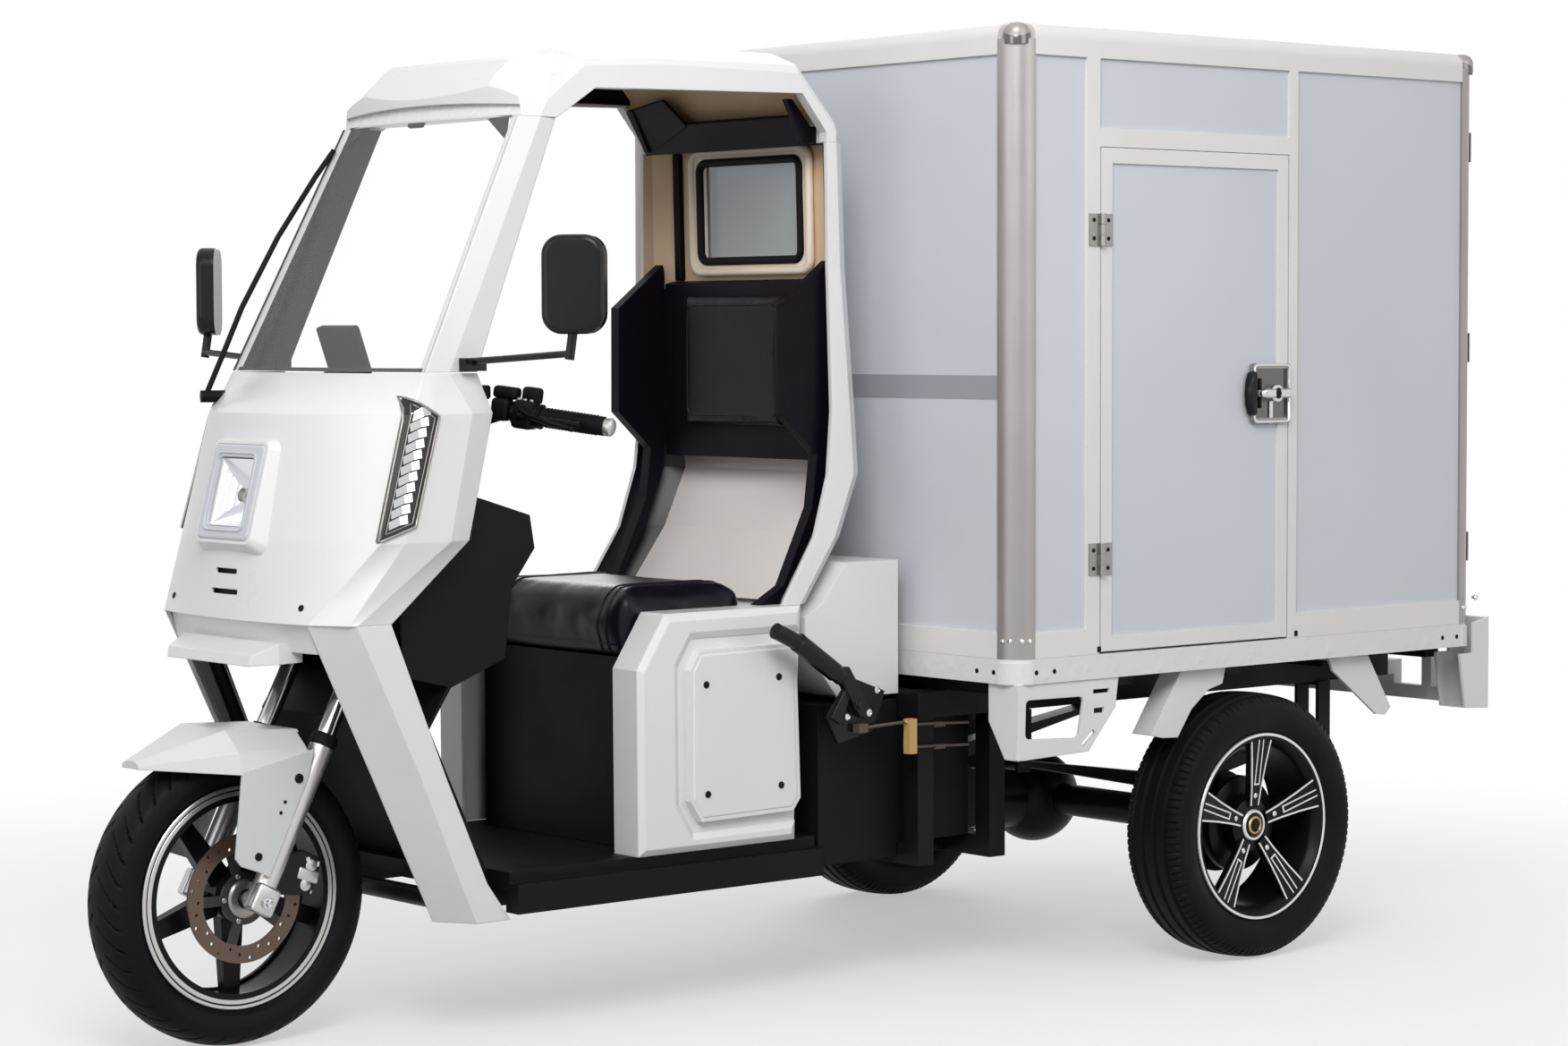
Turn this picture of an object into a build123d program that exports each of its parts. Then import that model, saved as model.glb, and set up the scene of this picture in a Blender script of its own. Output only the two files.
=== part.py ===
"""Electric cargo tricycle with a roofed driver's cab and a closed cargo box, in millimetres.

While it is built, x runs forward from the rear axle, y to the vehicle's left and z up from the ground.
write() moves every piece so that the origin is on the ground, midway between front and rear.
"""

import os
from math import cos, radians, sin

from build123d import *

# Wheels and steering
WHEELBASE = 1984
REAR_HALF_TRACK = 524
REAR_REACH = 704  # from the rear axle to the rearmost bracket
FRONT_TYRE_R = 259
FRONT_TYRE_W = 110
FRONT_BEAD_R = 178
FRONT_FLANGE_R = 192.5
FRONT_RIM_HALF = 44
REAR_TYRE_R = 259
REAR_TYRE_W = 146
REAR_BEAD_R = 165
REAR_FLANGE_R = 182
REAR_RIM_HALF = 60
TYRE_SEAT_GAP = 0.2  # between bead and rim, one body
SPOKES = 5
RAKE = 27  # degrees from the vertical
FORK_OFFSET = 30  # of the wheel axle ahead of the steering axis
FORK_HALF = 98  # from the middle to each leg
LEG_R = 21
TUBE_R = 16.5
FRONT_AXLE_R = 10
STUB_R = 17.5
STEM_R = 20
SHAFT_GAP = 0.05  # radial clearance of every shaft in its bore
DISC_R = 112
DISC_Y = 50  # inner face of the brake disc
DISC_T = 4

# Cargo box, from the rear axle
BOX_FRONT = 662
BOX_REAR = -647
BOX_HALF = 580
TRAY_LOW = 576
TRAY_TOP = 622
RAIL_TOP = 671
BOX_TOP = 1788
MOULD_LOW = BOX_TOP - 58
WALL = 24
SKIN_STEP = 6  # rails, posts and mouldings stand this far out of the panels
POST = 50
POST_R = 45
TRAY_SHEET = 5
DECK_T = 3  # raised deck inside the walls
DECK_MARGIN = 6
CASTING_T = 3  # corner castings proud of the rim
DOOR_FRONT = 445
DOOR_REAR = -75
DOOR_TOP = MOULD_LOW - 164
DOOR_LOW = TRAY_TOP + 4
DOOR_GAP = 3
DOOR_T = 28
DOOR_FRAME = 29
JAMB_FRONT = 35
JAMB_REAR = 25
TRANSOM = 34
PANEL_STEP = 5  # door panel behind its frame

# Cab
CAB_HALF = 303
FLOOR_LOW = 222
FLOOR_TOP = 293
SILL_TOP = 273
SILL_HALF = 322
SEAT_HALF = 235
SHELL = 5  # moulded panels
GLASS_T = 5
SEAT_GAP = 0.3  # where a soft or separate piece sits in another

FRONT_AXLE = Vector(WHEELBASE, 0, FRONT_TYRE_R)
UP = Vector(-sin(radians(RAKE)), 0, cos(radians(RAKE)))
AHEAD = Vector(cos(radians(RAKE)), 0, sin(radians(RAKE)))
STEER_BASE = FRONT_AXLE - AHEAD * FORK_OFFSET
ORIGIN_X = (WHEELBASE + FRONT_TYRE_R - REAR_REACH) / 2


def write(name, *shapes):
    """One STEP file per piece, moved to the shared origin."""
    solids = [solid for shape in shapes for solid in shape.solids()]
    moved = [Pos(-ORIGIN_X, 0, 0) * solid for solid in solids]
    export_step(moved[0] if len(moved) == 1 else Compound(children=moved), f"parts/{name}.step")


def slab(x, y, z):
    """A block between the limits in each direction."""
    size = (x[1] - x[0], y[1] - y[0], z[1] - z[0])
    return Pos((x[0] + x[1]) / 2, (y[0] + y[1]) / 2, (z[0] + z[1]) / 2) * Box(*size)


def side_plate(points, y0, y1):
    """A side-view outline of (x, z) points, from y0 to y1."""
    face = Plane.XZ.offset(-y0) * Polygon(*points, align=None)
    return extrude(face, amount=y1 - y0, dir=(0, 1, 0))


def plan_plate(points, z0, z1):
    """A plan outline of (x, y) points, from z0 to z1."""
    return extrude(Plane.XY.offset(z0) * Polygon(*points, align=None), amount=z1 - z0, dir=(0, 0, 1))


def front_plate(points, x0, x1):
    """A front-view outline of (y, z) points, from x0 to x1."""
    return extrude(Plane.YZ.offset(x0) * Polygon(*points, align=None), amount=x1 - x0, dir=(1, 0, 0))


def rod(a, b, radius):
    """A round bar from a to b."""
    a, b = Vector(*a), Vector(*b)
    return Solid.make_cylinder(radius, (b - a).length, Plane(origin=a, z_dir=b - a))


def beam(a, b, wide, high, up=(0, 0, 1)):
    """A rectangular bar from a to b."""
    a, b = Vector(*a), Vector(*b)
    across = (b - a).cross(Vector(*up))
    return extrude(Plane(origin=a, x_dir=across, z_dir=b - a) * Rectangle(wide, high), (b - a).length)


def tube(points, radius, bend):
    """A bent round bar."""
    path = FilletPolyline(*points, radius=bend)
    return sweep(Plane(origin=path @ 0, z_dir=path % 0) * Circle(radius), path=path)


def both(shape):
    """The piece and its mirror image on the other side."""
    return [*shape.solids(), *mirror(shape, about=Plane.XZ).solids()]


def profile(start, *steps):
    """A closed face: each step is a point reached by a line, or a pair of points on an arc."""
    edges = []
    here = start
    for step in steps:
        if isinstance(step[0], tuple):
            through, there = step
            edges.append(Edge.make_three_point_arc(here, through, there))
        else:
            there = step
            edges.append(Edge.make_line(here, there))
        here = there
    edges.append(Edge.make_line(here, start))
    return Face(Wire(edges))


def turned(*points):
    """A closed (radius, across) outline turned about the y axis."""
    return revolve(Polygon(*points, align=None), Axis.Y)


def steer_point(along, across=0, ahead=0):
    """A point given along the steering axis, across it and ahead of it."""
    return STEER_BASE + UP * along + AHEAD * ahead + Vector(0, across, 0)


# Wheels


def tyre(radius, width, bead, flange, rim_half, crown):
    """A hollow casing: tread, shoulders, walls and beads."""
    half = width / 2
    bead += TYRE_SEAT_GAP
    wall = 12
    mid = (flange + radius - crown) / 2
    side = [
        (bead, rim_half - 9), (flange + 1, rim_half - 4.5), (mid, half), (radius - crown, half * 0.85),
        (radius, half * 0.4),
    ]
    casing = turned(*side, *[(r, -across) for r, across in reversed(side)])
    hollow = [(bead - 5, rim_half - 9 - wall), (mid, half - wall), (radius - crown - wall, half * 0.85 - wall)]
    return casing - turned(*hollow, *[(r, -across) for r, across in reversed(hollow)])


def rim_barrel(bead, flange, rim_half):
    """The rim's barrel with its bead seats and two flanges."""
    return turned(
        (bead - 12, -rim_half),
        (flange, -rim_half),
        (flange, -rim_half + 4),
        (bead, -rim_half + 8),
        (bead, rim_half - 8),
        (flange, rim_half - 4),
        (flange, rim_half),
        (bead - 12, rim_half),
        (bead - 12, rim_half - 7),
        (bead - 7, rim_half - 14),
        (bead - 7, -rim_half + 14),
        (bead - 12, -rim_half + 7),
    )


def spoke(r0, r1, w0, w1, y0, y1, thick):
    """A tapered spoke along x, from the hub at r0 to the barrel at r1."""
    inner = Pos(r0, y0, 0) * Rot(0, 90, 0) * Rectangle(w0, thick)
    outer = Pos(r1, y1, 0) * Rot(0, 90, 0) * Rectangle(w1, thick * 0.75)
    return loft([inner, outer])


def front_rim():
    body = rim_barrel(FRONT_BEAD_R, FRONT_FLANGE_R, FRONT_RIM_HALF)
    body += turned((0, -34), (36, -34), (44, -24), (44, 30), (36, DISC_Y), (0, DISC_Y))
    for index in range(SPOKES):
        body += Rot(0, index * 360 / SPOKES + 18, 0) * spoke(38, FRONT_BEAD_R - 5, 44, 30, 0, 0, 26)
    body -= turned((0, -60), (FRONT_AXLE_R + SHAFT_GAP, -60), (FRONT_AXLE_R + SHAFT_GAP, 60), (0, 60))
    return Pos(*FRONT_AXLE) * body


def brake_disc():
    """A perforated ring on a five-armed carrier."""
    face, back = DISC_Y, DISC_Y + DISC_T
    disc = turned((82, face), (DISC_R, face), (DISC_R, back), (82, back))
    disc += turned((24, face), (46, face), (46, back), (24, back))
    for index in range(5):
        disc += Rot(0, index * 72, 0) * slab((40, 88), (face, back), (-9, 9))
    drill = Rot(90, 0, 0) * Cylinder(3.2, 40)
    for index in range(30):
        radius = 90 + 7 * (index % 3)
        disc -= Rot(0, index * 12, 0) * Pos(radius, face, 0) * drill
    disc -= turned((0, 40), (FRONT_AXLE_R + 6, 40), (FRONT_AXLE_R + 6, 60), (0, 60))
    return Pos(*FRONT_AXLE) * disc


def rear_rim(side):
    """Five pairs of spokes, dished to the outside."""
    body = rim_barrel(REAR_BEAD_R, REAR_FLANGE_R, REAR_RIM_HALF)
    outside = REAR_RIM_HALF - 16
    hub = turned((0, -20), (52, -20), (52, outside - 6), (34, outside + 2), (24, outside + 8), (0, outside + 8))
    body += hub
    for index in range(SPOKES):
        for offset in (-13, 13):
            arm = Pos(0, 0, offset) * spoke(40, REAR_BEAD_R - 5, 15, 15, outside - 10, outside - 4, 18)
            body += Rot(0, index * 360 / SPOKES + 90, 0) * arm
    bore = STUB_R + SHAFT_GAP
    body -= turned((0, -40), (bore, -40), (bore, outside - 14), (0, outside - 14))
    body = body if side > 0 else mirror(body, about=Plane.XZ)
    return Pos(0, side * REAR_HALF_TRACK, REAR_TYRE_R) * body


# Steering


FENDER_GAP = 0.5
FENDER_BOSSES = (60, 200)  # along the leg from the axle


def fork_lowers():
    leg = rod(steer_point(-16, FORK_HALF, FORK_OFFSET), steer_point(301, FORK_HALF, FORK_OFFSET), LEG_R)
    leg += Pos(*FRONT_AXLE) * turned((0, 78), (19, 78), (19, 121), (0, 121))
    for along in FENDER_BOSSES:
        boss = steer_point(along, FORK_HALF, FORK_OFFSET + 24)
        leg += rod(boss, boss + Vector(0, LEG_R + FENDER_GAP, 0), 8)
    pair = leg + mirror(leg, about=Plane.XZ)
    return pair + Pos(*FRONT_AXLE) * turned((0, -90), (FRONT_AXLE_R, -90), (FRONT_AXLE_R, 90), (0, 90))


CROWN_LOW, CROWN_TOP = 490, 515
HEAD_LOW, HEAD_TOP = 525, 690
STEM_TOP = 880


def fork_uppers():
    a, b = (steer_point(s, FORK_HALF, FORK_OFFSET) for s in (301, CROWN_LOW))
    return both(rod(a, b, TUBE_R))


def steering_stem():
    """The fork crown with the stem that turns in the head tube."""
    plane = Plane(origin=steer_point(CROWN_LOW), x_dir=(0, 1, 0), z_dir=UP)
    ahead = FORK_OFFSET * (1 if plane.y_dir.dot(AHEAD) > 0 else -1)
    left, right = Pos(FORK_HALF, ahead) * Circle(26), Pos(-FORK_HALF, ahead) * Circle(26)
    outline = make_hull(left.edges() + right.edges() + Circle(32).edges())
    crown = extrude(plane * outline, CROWN_TOP - CROWN_LOW)
    return crown + rod(steer_point(CROWN_TOP - 5), steer_point(STEM_TOP), STEM_R)


FENDER_SECTIONS = (
    # x, top half width, top z, edge half width, edge z, low half width, low z
    (1893, 82, 546, 118, 518, 123.5, 500),
    (2030, 72, 553, 116, 517, 123.5, 480),
    (2172, 14, 505, 26, 499, 28, 492),
)


def fender_loft(inset):
    faces = []
    for x, top_half, top_z, edge_half, edge_z, low_half, low_z in FENDER_SECTIONS:
        shift = inset * 2 if x == FENDER_SECTIONS[-1][0] else 0
        rows = [(top_half, top_z - inset), (edge_half - inset, edge_z - inset), (low_half - inset, low_z - 4 * inset)]
        points = rows + [(-half, z) for half, z in reversed(rows)]
        faces.append(Plane.YZ.offset(x - shift) * Polygon(*points, align=None))
    return loft(faces, ruled=True)


def front_fender():
    inside = fender_loft(4) & slab((1880, 2166), (-130, 130), (440, 600))
    shell = fender_loft(0) - inside - slab((1880, 1897), (-119, 119), (440, 541))
    outer_face = FORK_HALF + LEG_R + FENDER_GAP
    skirt = [(1884, 514), (2028, 484), (2043, 339), (2032, 325), (1994, 311), (1976, 301), (1895, 468)]
    plates = side_plate(skirt, outer_face, outer_face + 4)
    shell += plates
    return shell + mirror(plates, about=Plane.XZ)


def brake_caliper():
    """The caliper that straddles the disc, on a bracket from the left leg."""
    at = Vector(1870, 0, 290)
    body = Pos(at.X, (38 + 72) / 2, at.Z) * Rot(0, -20, 0) * Box(42, 34, 66)
    gap = (DISC_Y - 2, DISC_Y + DISC_T + 2)
    body -= Pos(*FRONT_AXLE) * turned((60, gap[0]), (DISC_R + 3, gap[0]), (DISC_R + 3, gap[1]), (60, gap[1]))
    arm = side_plate([(1850, 320), (1880, 335), (1948, 322), (1960, 290), (1930, 262), (1868, 255)], 70, 78)
    leg = rod(steer_point(-40, FORK_HALF, FORK_OFFSET), steer_point(301, FORK_HALF, FORK_OFFSET), LEG_R)
    return body + arm - leg


BAR_R = 11
GRIP_R = 17
GRIP_IN = (1474, 226, 1077)
GRIP_OUT = (1412, 328, 1061)
BAR_BEND = tuple(a + 0.53 * (a - b) for a, b in zip(GRIP_IN, GRIP_OUT))  # on the grip's line


def handlebar():
    clamp = steer_point(STEM_TOP + 14)
    middle = steer_point(STEM_TOP + 14, 0, 4)
    half = [
        (middle.X, 0, middle.Z), (middle.X, 70, middle.Z), (middle.X - 16, 130, middle.Z + 26), BAR_BEND, GRIP_OUT,
    ]
    path = FilletPolyline(*half, radius=26)
    bar = sweep(Plane(origin=path @ 0, z_dir=path % 0) * Circle(BAR_R), path=path)
    bar += mirror(bar, about=Plane.XZ)
    block = Plane(origin=steer_point(STEM_TOP), x_dir=(0, 1, 0), z_dir=UP) * Box(
        70, 52, 34, align=(Align.CENTER, Align.CENTER, Align.MIN)
    )
    along = Vector(*GRIP_OUT) - Vector(*GRIP_IN)
    out = along.normalized()
    housing = rod(Vector(*GRIP_IN) - out * 52, Vector(*GRIP_IN) - out * 4, 21)
    lever_root = Vector(*GRIP_IN) - out * 26 + Vector(26, 6, 0)
    lever = rod(lever_root - Vector(26, 6, 0), lever_root, 8) + rod(lever_root, lever_root + out * 128 + Vector(12, 0, 0), 5)
    parts = housing + lever
    return bar + block + parts + mirror(parts, about=Plane.XZ)


def handlebar_grips():
    return both(rod(GRIP_IN, GRIP_OUT, GRIP_R) - rod(GRIP_IN, GRIP_OUT, BAR_R))


# Chassis

RAIL_Y = 330
RAIL_Z = (500, 550)
FLOOR_RAIL_Y = 200
RIB_X = (-600, -280, 0, 110, 300, 600)
BEARER_X = (-600, -280, 0, 300, 600)
DROP_X = (475, 660)  # front faces of the uprights between rails and floor rails
HEAD_R = 29
HEAD_TUBE_TIE = HEAD_TOP - 45  # along the steering axis
FRAME_KNEE = (1888, 254, 730)
FRAME_FOOT = (1684, 254, 243)


def chassis_frame():
    """Rails under the tray, floor rails, head tube and the tubes that carry the cab."""
    parts = []
    tie = steer_point(HEAD_TUBE_TIE)
    for side in (1, -1):
        knee = (FRAME_KNEE[0], side * FRAME_KNEE[1], FRAME_KNEE[2])
        foot = (FRAME_FOOT[0], side * FRAME_FOOT[1], FRAME_FOOT[2])
        parts.append(slab((-640, 700), sorted((side * (RAIL_Y - 25), side * (RAIL_Y + 25))), RAIL_Z))
        parts.append(slab((475, 1690), sorted((side * (FLOOR_RAIL_Y - 20), side * (FLOOR_RAIL_Y + 20))), (222, 262)))
        for x in DROP_X:
            parts.append(slab((x, x + 40), sorted((side * (RAIL_Y - 15), side * (RAIL_Y + 25))), (222, 500)))
            parts.append(slab((x, x + 40), sorted((side * 180, side * (RAIL_Y + 25))), (222, 262)))
        parts.append(rod(foot, knee, 13))
        parts.append(Pos(*knee) * Sphere(13))
        parts.append(rod(knee, (tie.X, side * 20, tie.Z), 13))
    for x in (-640, *DROP_X):
        parts.append(slab((x, x + 40), (-355, 355), RAIL_Z))
    for x in BEARER_X:
        parts.append(slab((x - 20, x + 20), (-505, 505), (RAIL_Z[1], TRAY_LOW)))
    parts.append(rod((FRAME_FOOT[0], -258, FRAME_FOOT[2]), (FRAME_FOOT[0], 258, FRAME_FOOT[2]), 17))
    parts.append(rod(steer_point(HEAD_LOW), steer_point(HEAD_TOP), HEAD_R))
    body = parts[0]
    for piece in parts[1:]:
        body += piece
    body -= rod(steer_point(HEAD_LOW - 5), steer_point(HEAD_TOP + 5), STEM_R + SHAFT_GAP)
    return body


def rear_axle():
    """A beam with its gear housing, spring pads, hub flanges and the stubs that carry the wheels."""
    axis = REAR_TYRE_R
    body = rod((0, -440, axis), (0, 440, axis), 32)
    body += Pos(0, -60, axis) * Sphere(95)
    body += rod((60, -60, axis), (190, -60, axis + 10), 62)
    for side in (1, -1):
        stub_end = REAR_HALF_TRACK + REAR_RIM_HALF - 16 - 16
        body += rod((0, side * 440, axis), (0, side * stub_end, axis), STUB_R)
        body += rod((0, side * 425, axis), (0, side * 470, axis), 100)
        body += slab((-45, 45), sorted((side * (RAIL_Y - 28), side * (RAIL_Y + 28))), (axis + 20, axis + 40))
    return body


def leaf_springs():
    """Two packs of leaves with eyes and hangers under the rails."""
    low = REAR_TYRE_R + 40
    half = 25
    pack = side_plate(
        [(-40, low), (40, low), (40, low + 14), (430, low + 92), (430, low + 102), (250, low + 76),
         (0, low + 40), (-250, low + 76), (-430, low + 102), (-430, low + 92), (-40, low + 14)],
        RAIL_Y - half, RAIL_Y + half,
    )
    for x in (-430, 430):
        pack += rod((x, RAIL_Y - half, low + 98), (x, RAIL_Y + half, low + 98), 16)
        for y in (RAIL_Y - half - 8, RAIL_Y + half):
            pack += slab((x - 18, x + 18), (y, y + 8), (low + 80, RAIL_Z[0]))
        pack += slab((x - 18, x + 18), (RAIL_Y - half - 8, RAIL_Y + half + 8), (RAIL_Z[0] - 8, RAIL_Z[0]))
    return both(pack)


BATTERY_X = (520, 900)


def battery_box():
    """The battery case between the rails, under the tray's front end."""
    case = slab((520, 655), (-300, 300), (262, 495))
    case += slab((655, 703), (-300, 300), (262, 495))
    case += slab((703, 900), (-300, 300), (262, 535))
    for side in (1, -1):
        case += slab((705, 900), sorted((side * 222, side * 300)), (236, 262))
    return case


def rear_bumper():
    """The cross bar, its uprights to the rails and the tabs that hold the corner brackets."""
    x = (-690, -665)
    end = BOX_HALF - 74
    body = slab(x, (-end, end), (452, 480))
    for side in (1, -1):
        upright = sorted((side * (RAIL_Y + 95), side * (RAIL_Y + 120)))
        tab = sorted((side * (RAIL_Y - 25), side * (RAIL_Y + 20)))
        body += slab(x, upright, (480, 560))
        body += slab((-690, -640), upright, (545, 570))
        body += slab((-690, -640), tab, (500, 530))
        body += slab(x, tab, (470, 530))
    return body


# Cargo box


def rounded_plan(x0, x1, half, radius, z0, z1):
    """A rectangle in plan with rounded corners, from z0 to z1."""
    sketch = Pos((x0 + x1) / 2, 0) * RectangleRounded(x1 - x0, 2 * half, radius)
    return extrude(Plane.XY.offset(z0) * sketch, z1 - z0)


def cargo_tray():
    """A folded steel floor with a deep rim, corner castings, cross ribs and a raised deck."""
    tray = rounded_plan(BOX_REAR, BOX_FRONT, BOX_HALF, POST_R, TRAY_LOW, TRAY_TOP)
    wide = rounded_plan(
        BOX_REAR - CASTING_T, BOX_FRONT + CASTING_T, BOX_HALF + CASTING_T, POST_R + CASTING_T, TRAY_LOW, TRAY_TOP - 6,
    )
    near, reach = BOX_HALF - 47, BOX_HALF + 10
    for x in ((BOX_FRONT - 42, BOX_FRONT + 10), (BOX_REAR - 10, BOX_REAR + 42)):
        casting = wide & slab(x, (near, reach), (TRAY_LOW, TRAY_TOP))
        tray = tray + casting + mirror(casting, about=Plane.XZ)
    tray -= rounded_plan(
        BOX_REAR + TRAY_SHEET, BOX_FRONT - TRAY_SHEET, BOX_HALF - TRAY_SHEET, POST_R - TRAY_SHEET,
        TRAY_LOW - 1, TRAY_TOP - TRAY_SHEET,
    )
    for x in RIB_X:
        tray += slab((x - 20, x + 20), (-BOX_HALF + 3, BOX_HALF - 3), (TRAY_LOW, TRAY_TOP - 2))
    room = BOX_HALF - SKIN_STEP - WALL - DECK_MARGIN
    deck = (BOX_REAR + POST + DECK_MARGIN, BOX_FRONT - SKIN_STEP - WALL - DECK_MARGIN)
    return tray + slab(deck, (-room, room), (TRAY_TOP, TRAY_TOP + DECK_T))


PANEL_FACE = BOX_HALF - SKIN_STEP
FRONT_FACE = BOX_FRONT - SKIN_STEP
REAR_JAMB = 30
ROOF_T = 24
ROOF_LOW = BOX_TOP - 30


def corner_post(x_sign):
    """An aluminium corner section with its rounded outer edge."""
    if x_sign > 0:
        x0, x1 = BOX_FRONT - POST, BOX_FRONT
    else:
        x0, x1 = BOX_REAR, BOX_REAR + POST
    y0, y1 = BOX_HALF - POST, BOX_HALF
    post = slab((x0, x1), (y0, y1), (TRAY_TOP, ROOF_LOW))
    corner = [e for e in post.edges().filter_by(Axis.Z) if abs(e.center().Y - y1) < 1]
    corner = sorted(corner, key=lambda e: e.center().X * x_sign)[-1]
    post = fillet(corner, POST_R)
    if x_sign > 0:
        post -= slab((x0 - 1, FRONT_FACE - WALL), (y0 - 1, PANEL_FACE), (TRAY_TOP - 1, ROOF_LOW + 1))
        post -= slab((FRONT_FACE - WALL - 1, FRONT_FACE), (y0 - 1, PANEL_FACE - WALL), (TRAY_TOP - 1, ROOF_LOW + 1))
    else:
        post -= slab((x0 + REAR_JAMB, x1 + 1), (y0 - 1, PANEL_FACE), (TRAY_TOP - 1, ROOF_LOW + 1))
    return post


def post_cap(x_sign):
    """The dome that closes the roof's corner above a post."""
    x = BOX_FRONT - POST / 2 if x_sign > 0 else BOX_REAR + POST / 2
    dome = Pos(x, BOX_HALF - POST / 2, ROOF_LOW) * Cylinder(POST / 2 - 1, 30, align=(Align.CENTER, Align.CENTER, Align.MIN))
    rim = dome.edges().filter_by(GeomType.CIRCLE).sort_by(Axis.Z)[-1]
    return fillet(rim, 18)


def corner_posts():
    solids = []
    for x_sign in (1, -1):
        solids += both(corner_post(x_sign) + post_cap(x_sign))
    return Compound(children=solids)


WALL_FRONT_END = FRONT_FACE - WALL
WALL_REAR_END = BOX_REAR + REAR_JAMB
LEFT_PANELS = (
    # x from, x to, z from
    (WALL_REAR_END, DOOR_REAR - JAMB_REAR, TRAY_TOP),
    (DOOR_REAR, DOOR_FRONT, DOOR_TOP + 1 + TRANSOM),
    (DOOR_FRONT + JAMB_FRONT, WALL_FRONT_END, TRAY_TOP),
)


def box_walls():
    """The sandwich panels: three round the side door, the whole right side and the front."""
    panels = [slab((x0, x1), (PANEL_FACE - WALL, PANEL_FACE), (z0, ROOF_LOW)) for x0, x1, z0 in LEFT_PANELS]
    panels.append(slab((WALL_REAR_END, WALL_FRONT_END), (-PANEL_FACE, WALL - PANEL_FACE), (TRAY_TOP, ROOF_LOW)))
    half = PANEL_FACE - WALL
    panels.append(slab((FRONT_FACE - WALL, FRONT_FACE), (-half, half), (TRAY_TOP, ROOF_LOW)))
    return panels


def box_roof():
    half = PANEL_FACE - WALL
    roof = slab((BOX_REAR + 30, WALL_FRONT_END), (-half, half), (ROOF_LOW, ROOF_LOW + ROOF_T))
    for sign in (1, -1):
        room = fillet_column(sign)
        roof = roof - room - mirror(room, about=Plane.XZ)
    return roof


def box_trim():
    """White sections: roof moulding, bottom rails, door jambs, transom and the rear header."""
    ring_top = rounded_plan(BOX_REAR, BOX_FRONT, BOX_HALF, POST_R, MOULD_LOW, BOX_TOP)
    top_edges = [e for e in ring_top.edges() if e.center().Z > BOX_TOP - 1]
    ring_top = fillet(top_edges, 26)
    ring_top -= slab((BOX_REAR + 60, WALL_FRONT_END - 15), (-535, 535), (MOULD_LOW - 1, BOX_TOP + 1))
    inner = PANEL_FACE - WALL
    ring_top -= slab((BOX_REAR + 30, WALL_FRONT_END), (-inner, inner), (MOULD_LOW - 1, ROOF_LOW + ROOF_T))
    ring_top -= slab((WALL_REAR_END, FRONT_FACE), (-PANEL_FACE, PANEL_FACE), (MOULD_LOW - 1, ROOF_LOW))
    ring_top -= slab((BOX_REAR - 1, BOX_REAR + 31), (-(BOX_HALF - POST), BOX_HALF - POST), (MOULD_LOW - 1, ROOF_LOW - 26))
    low = (TRAY_TOP, RAIL_TOP)
    side_end = BOX_FRONT - POST
    side_start = BOX_REAR + POST
    body = ring_top
    body += slab((FRONT_FACE, BOX_FRONT), (-(BOX_HALF - POST), BOX_HALF - POST), low)
    body += slab((side_start, side_end), (-BOX_HALF, -PANEL_FACE), low)
    body += slab((side_start, DOOR_REAR - JAMB_REAR), (PANEL_FACE, BOX_HALF), low)
    body += slab((DOOR_FRONT + JAMB_FRONT, side_end), (PANEL_FACE, BOX_HALF), low)
    depth = (PANEL_FACE - WALL, BOX_HALF)
    body += slab((DOOR_FRONT, DOOR_FRONT + JAMB_FRONT), depth, (TRAY_TOP, ROOF_LOW))
    body += slab((DOOR_REAR - JAMB_REAR, DOOR_REAR), depth, (TRAY_TOP, ROOF_LOW))
    body += slab((DOOR_REAR, DOOR_FRONT), depth, (DOOR_TOP + 1, DOOR_TOP + 1 + TRANSOM))
    for sign in (1, -1):
        room = fillet_column(sign)
        body = body - room - mirror(room, about=Plane.XZ)
    return body


def fillet_column(x_sign):
    """The room that a corner post and its cap take in the roof moulding."""
    if x_sign > 0:
        x = (BOX_FRONT - POST, BOX_FRONT + 5)
    else:
        x = (BOX_REAR - 5, BOX_REAR + POST)
    return slab(x, (BOX_HALF - POST, BOX_HALF + 5), (TRAY_TOP - 1, BOX_TOP + 1))


def framed_leaf(x0, x1, z0, z1, face):
    """A door leaf in the left wall: a frame with a panel set back on both sides."""
    leaf = slab((x0, x1), (face - DOOR_T, face), (z0, z1))
    opening = ((x0 + DOOR_FRAME, x1 - DOOR_FRAME), (z0 + DOOR_FRAME, z1 - DOOR_FRAME))
    leaf -= slab(opening[0], (face - PANEL_STEP, face + 1), opening[1])
    leaf -= slab(opening[0], (face - DOOR_T - 1, face - DOOR_T + PANEL_STEP), opening[1])
    return leaf


def side_door():
    return framed_leaf(DOOR_REAR + DOOR_GAP, DOOR_FRONT - DOOR_GAP, DOOR_LOW, DOOR_TOP, BOX_HALF)


REAR_DOOR_LOW = TRAY_TOP + 28
REAR_DOOR_TOP = MOULD_LOW - 1
REAR_DOOR_Y = (3, BOX_HALF - POST - DOOR_GAP)


def rear_door_left():
    y0, y1 = REAR_DOOR_Y
    leaf = slab((BOX_REAR, BOX_REAR + DOOR_T), (y0, y1), (REAR_DOOR_LOW, REAR_DOOR_TOP))
    y = (y0 + DOOR_FRAME, y1 - DOOR_FRAME)
    z = (REAR_DOOR_LOW + DOOR_FRAME, REAR_DOOR_TOP - DOOR_FRAME)
    leaf -= slab((BOX_REAR - 1, BOX_REAR + PANEL_STEP), y, z)
    leaf -= slab((BOX_REAR + DOOR_T - PANEL_STEP, BOX_REAR + DOOR_T + 1), y, z)
    return leaf


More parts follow.
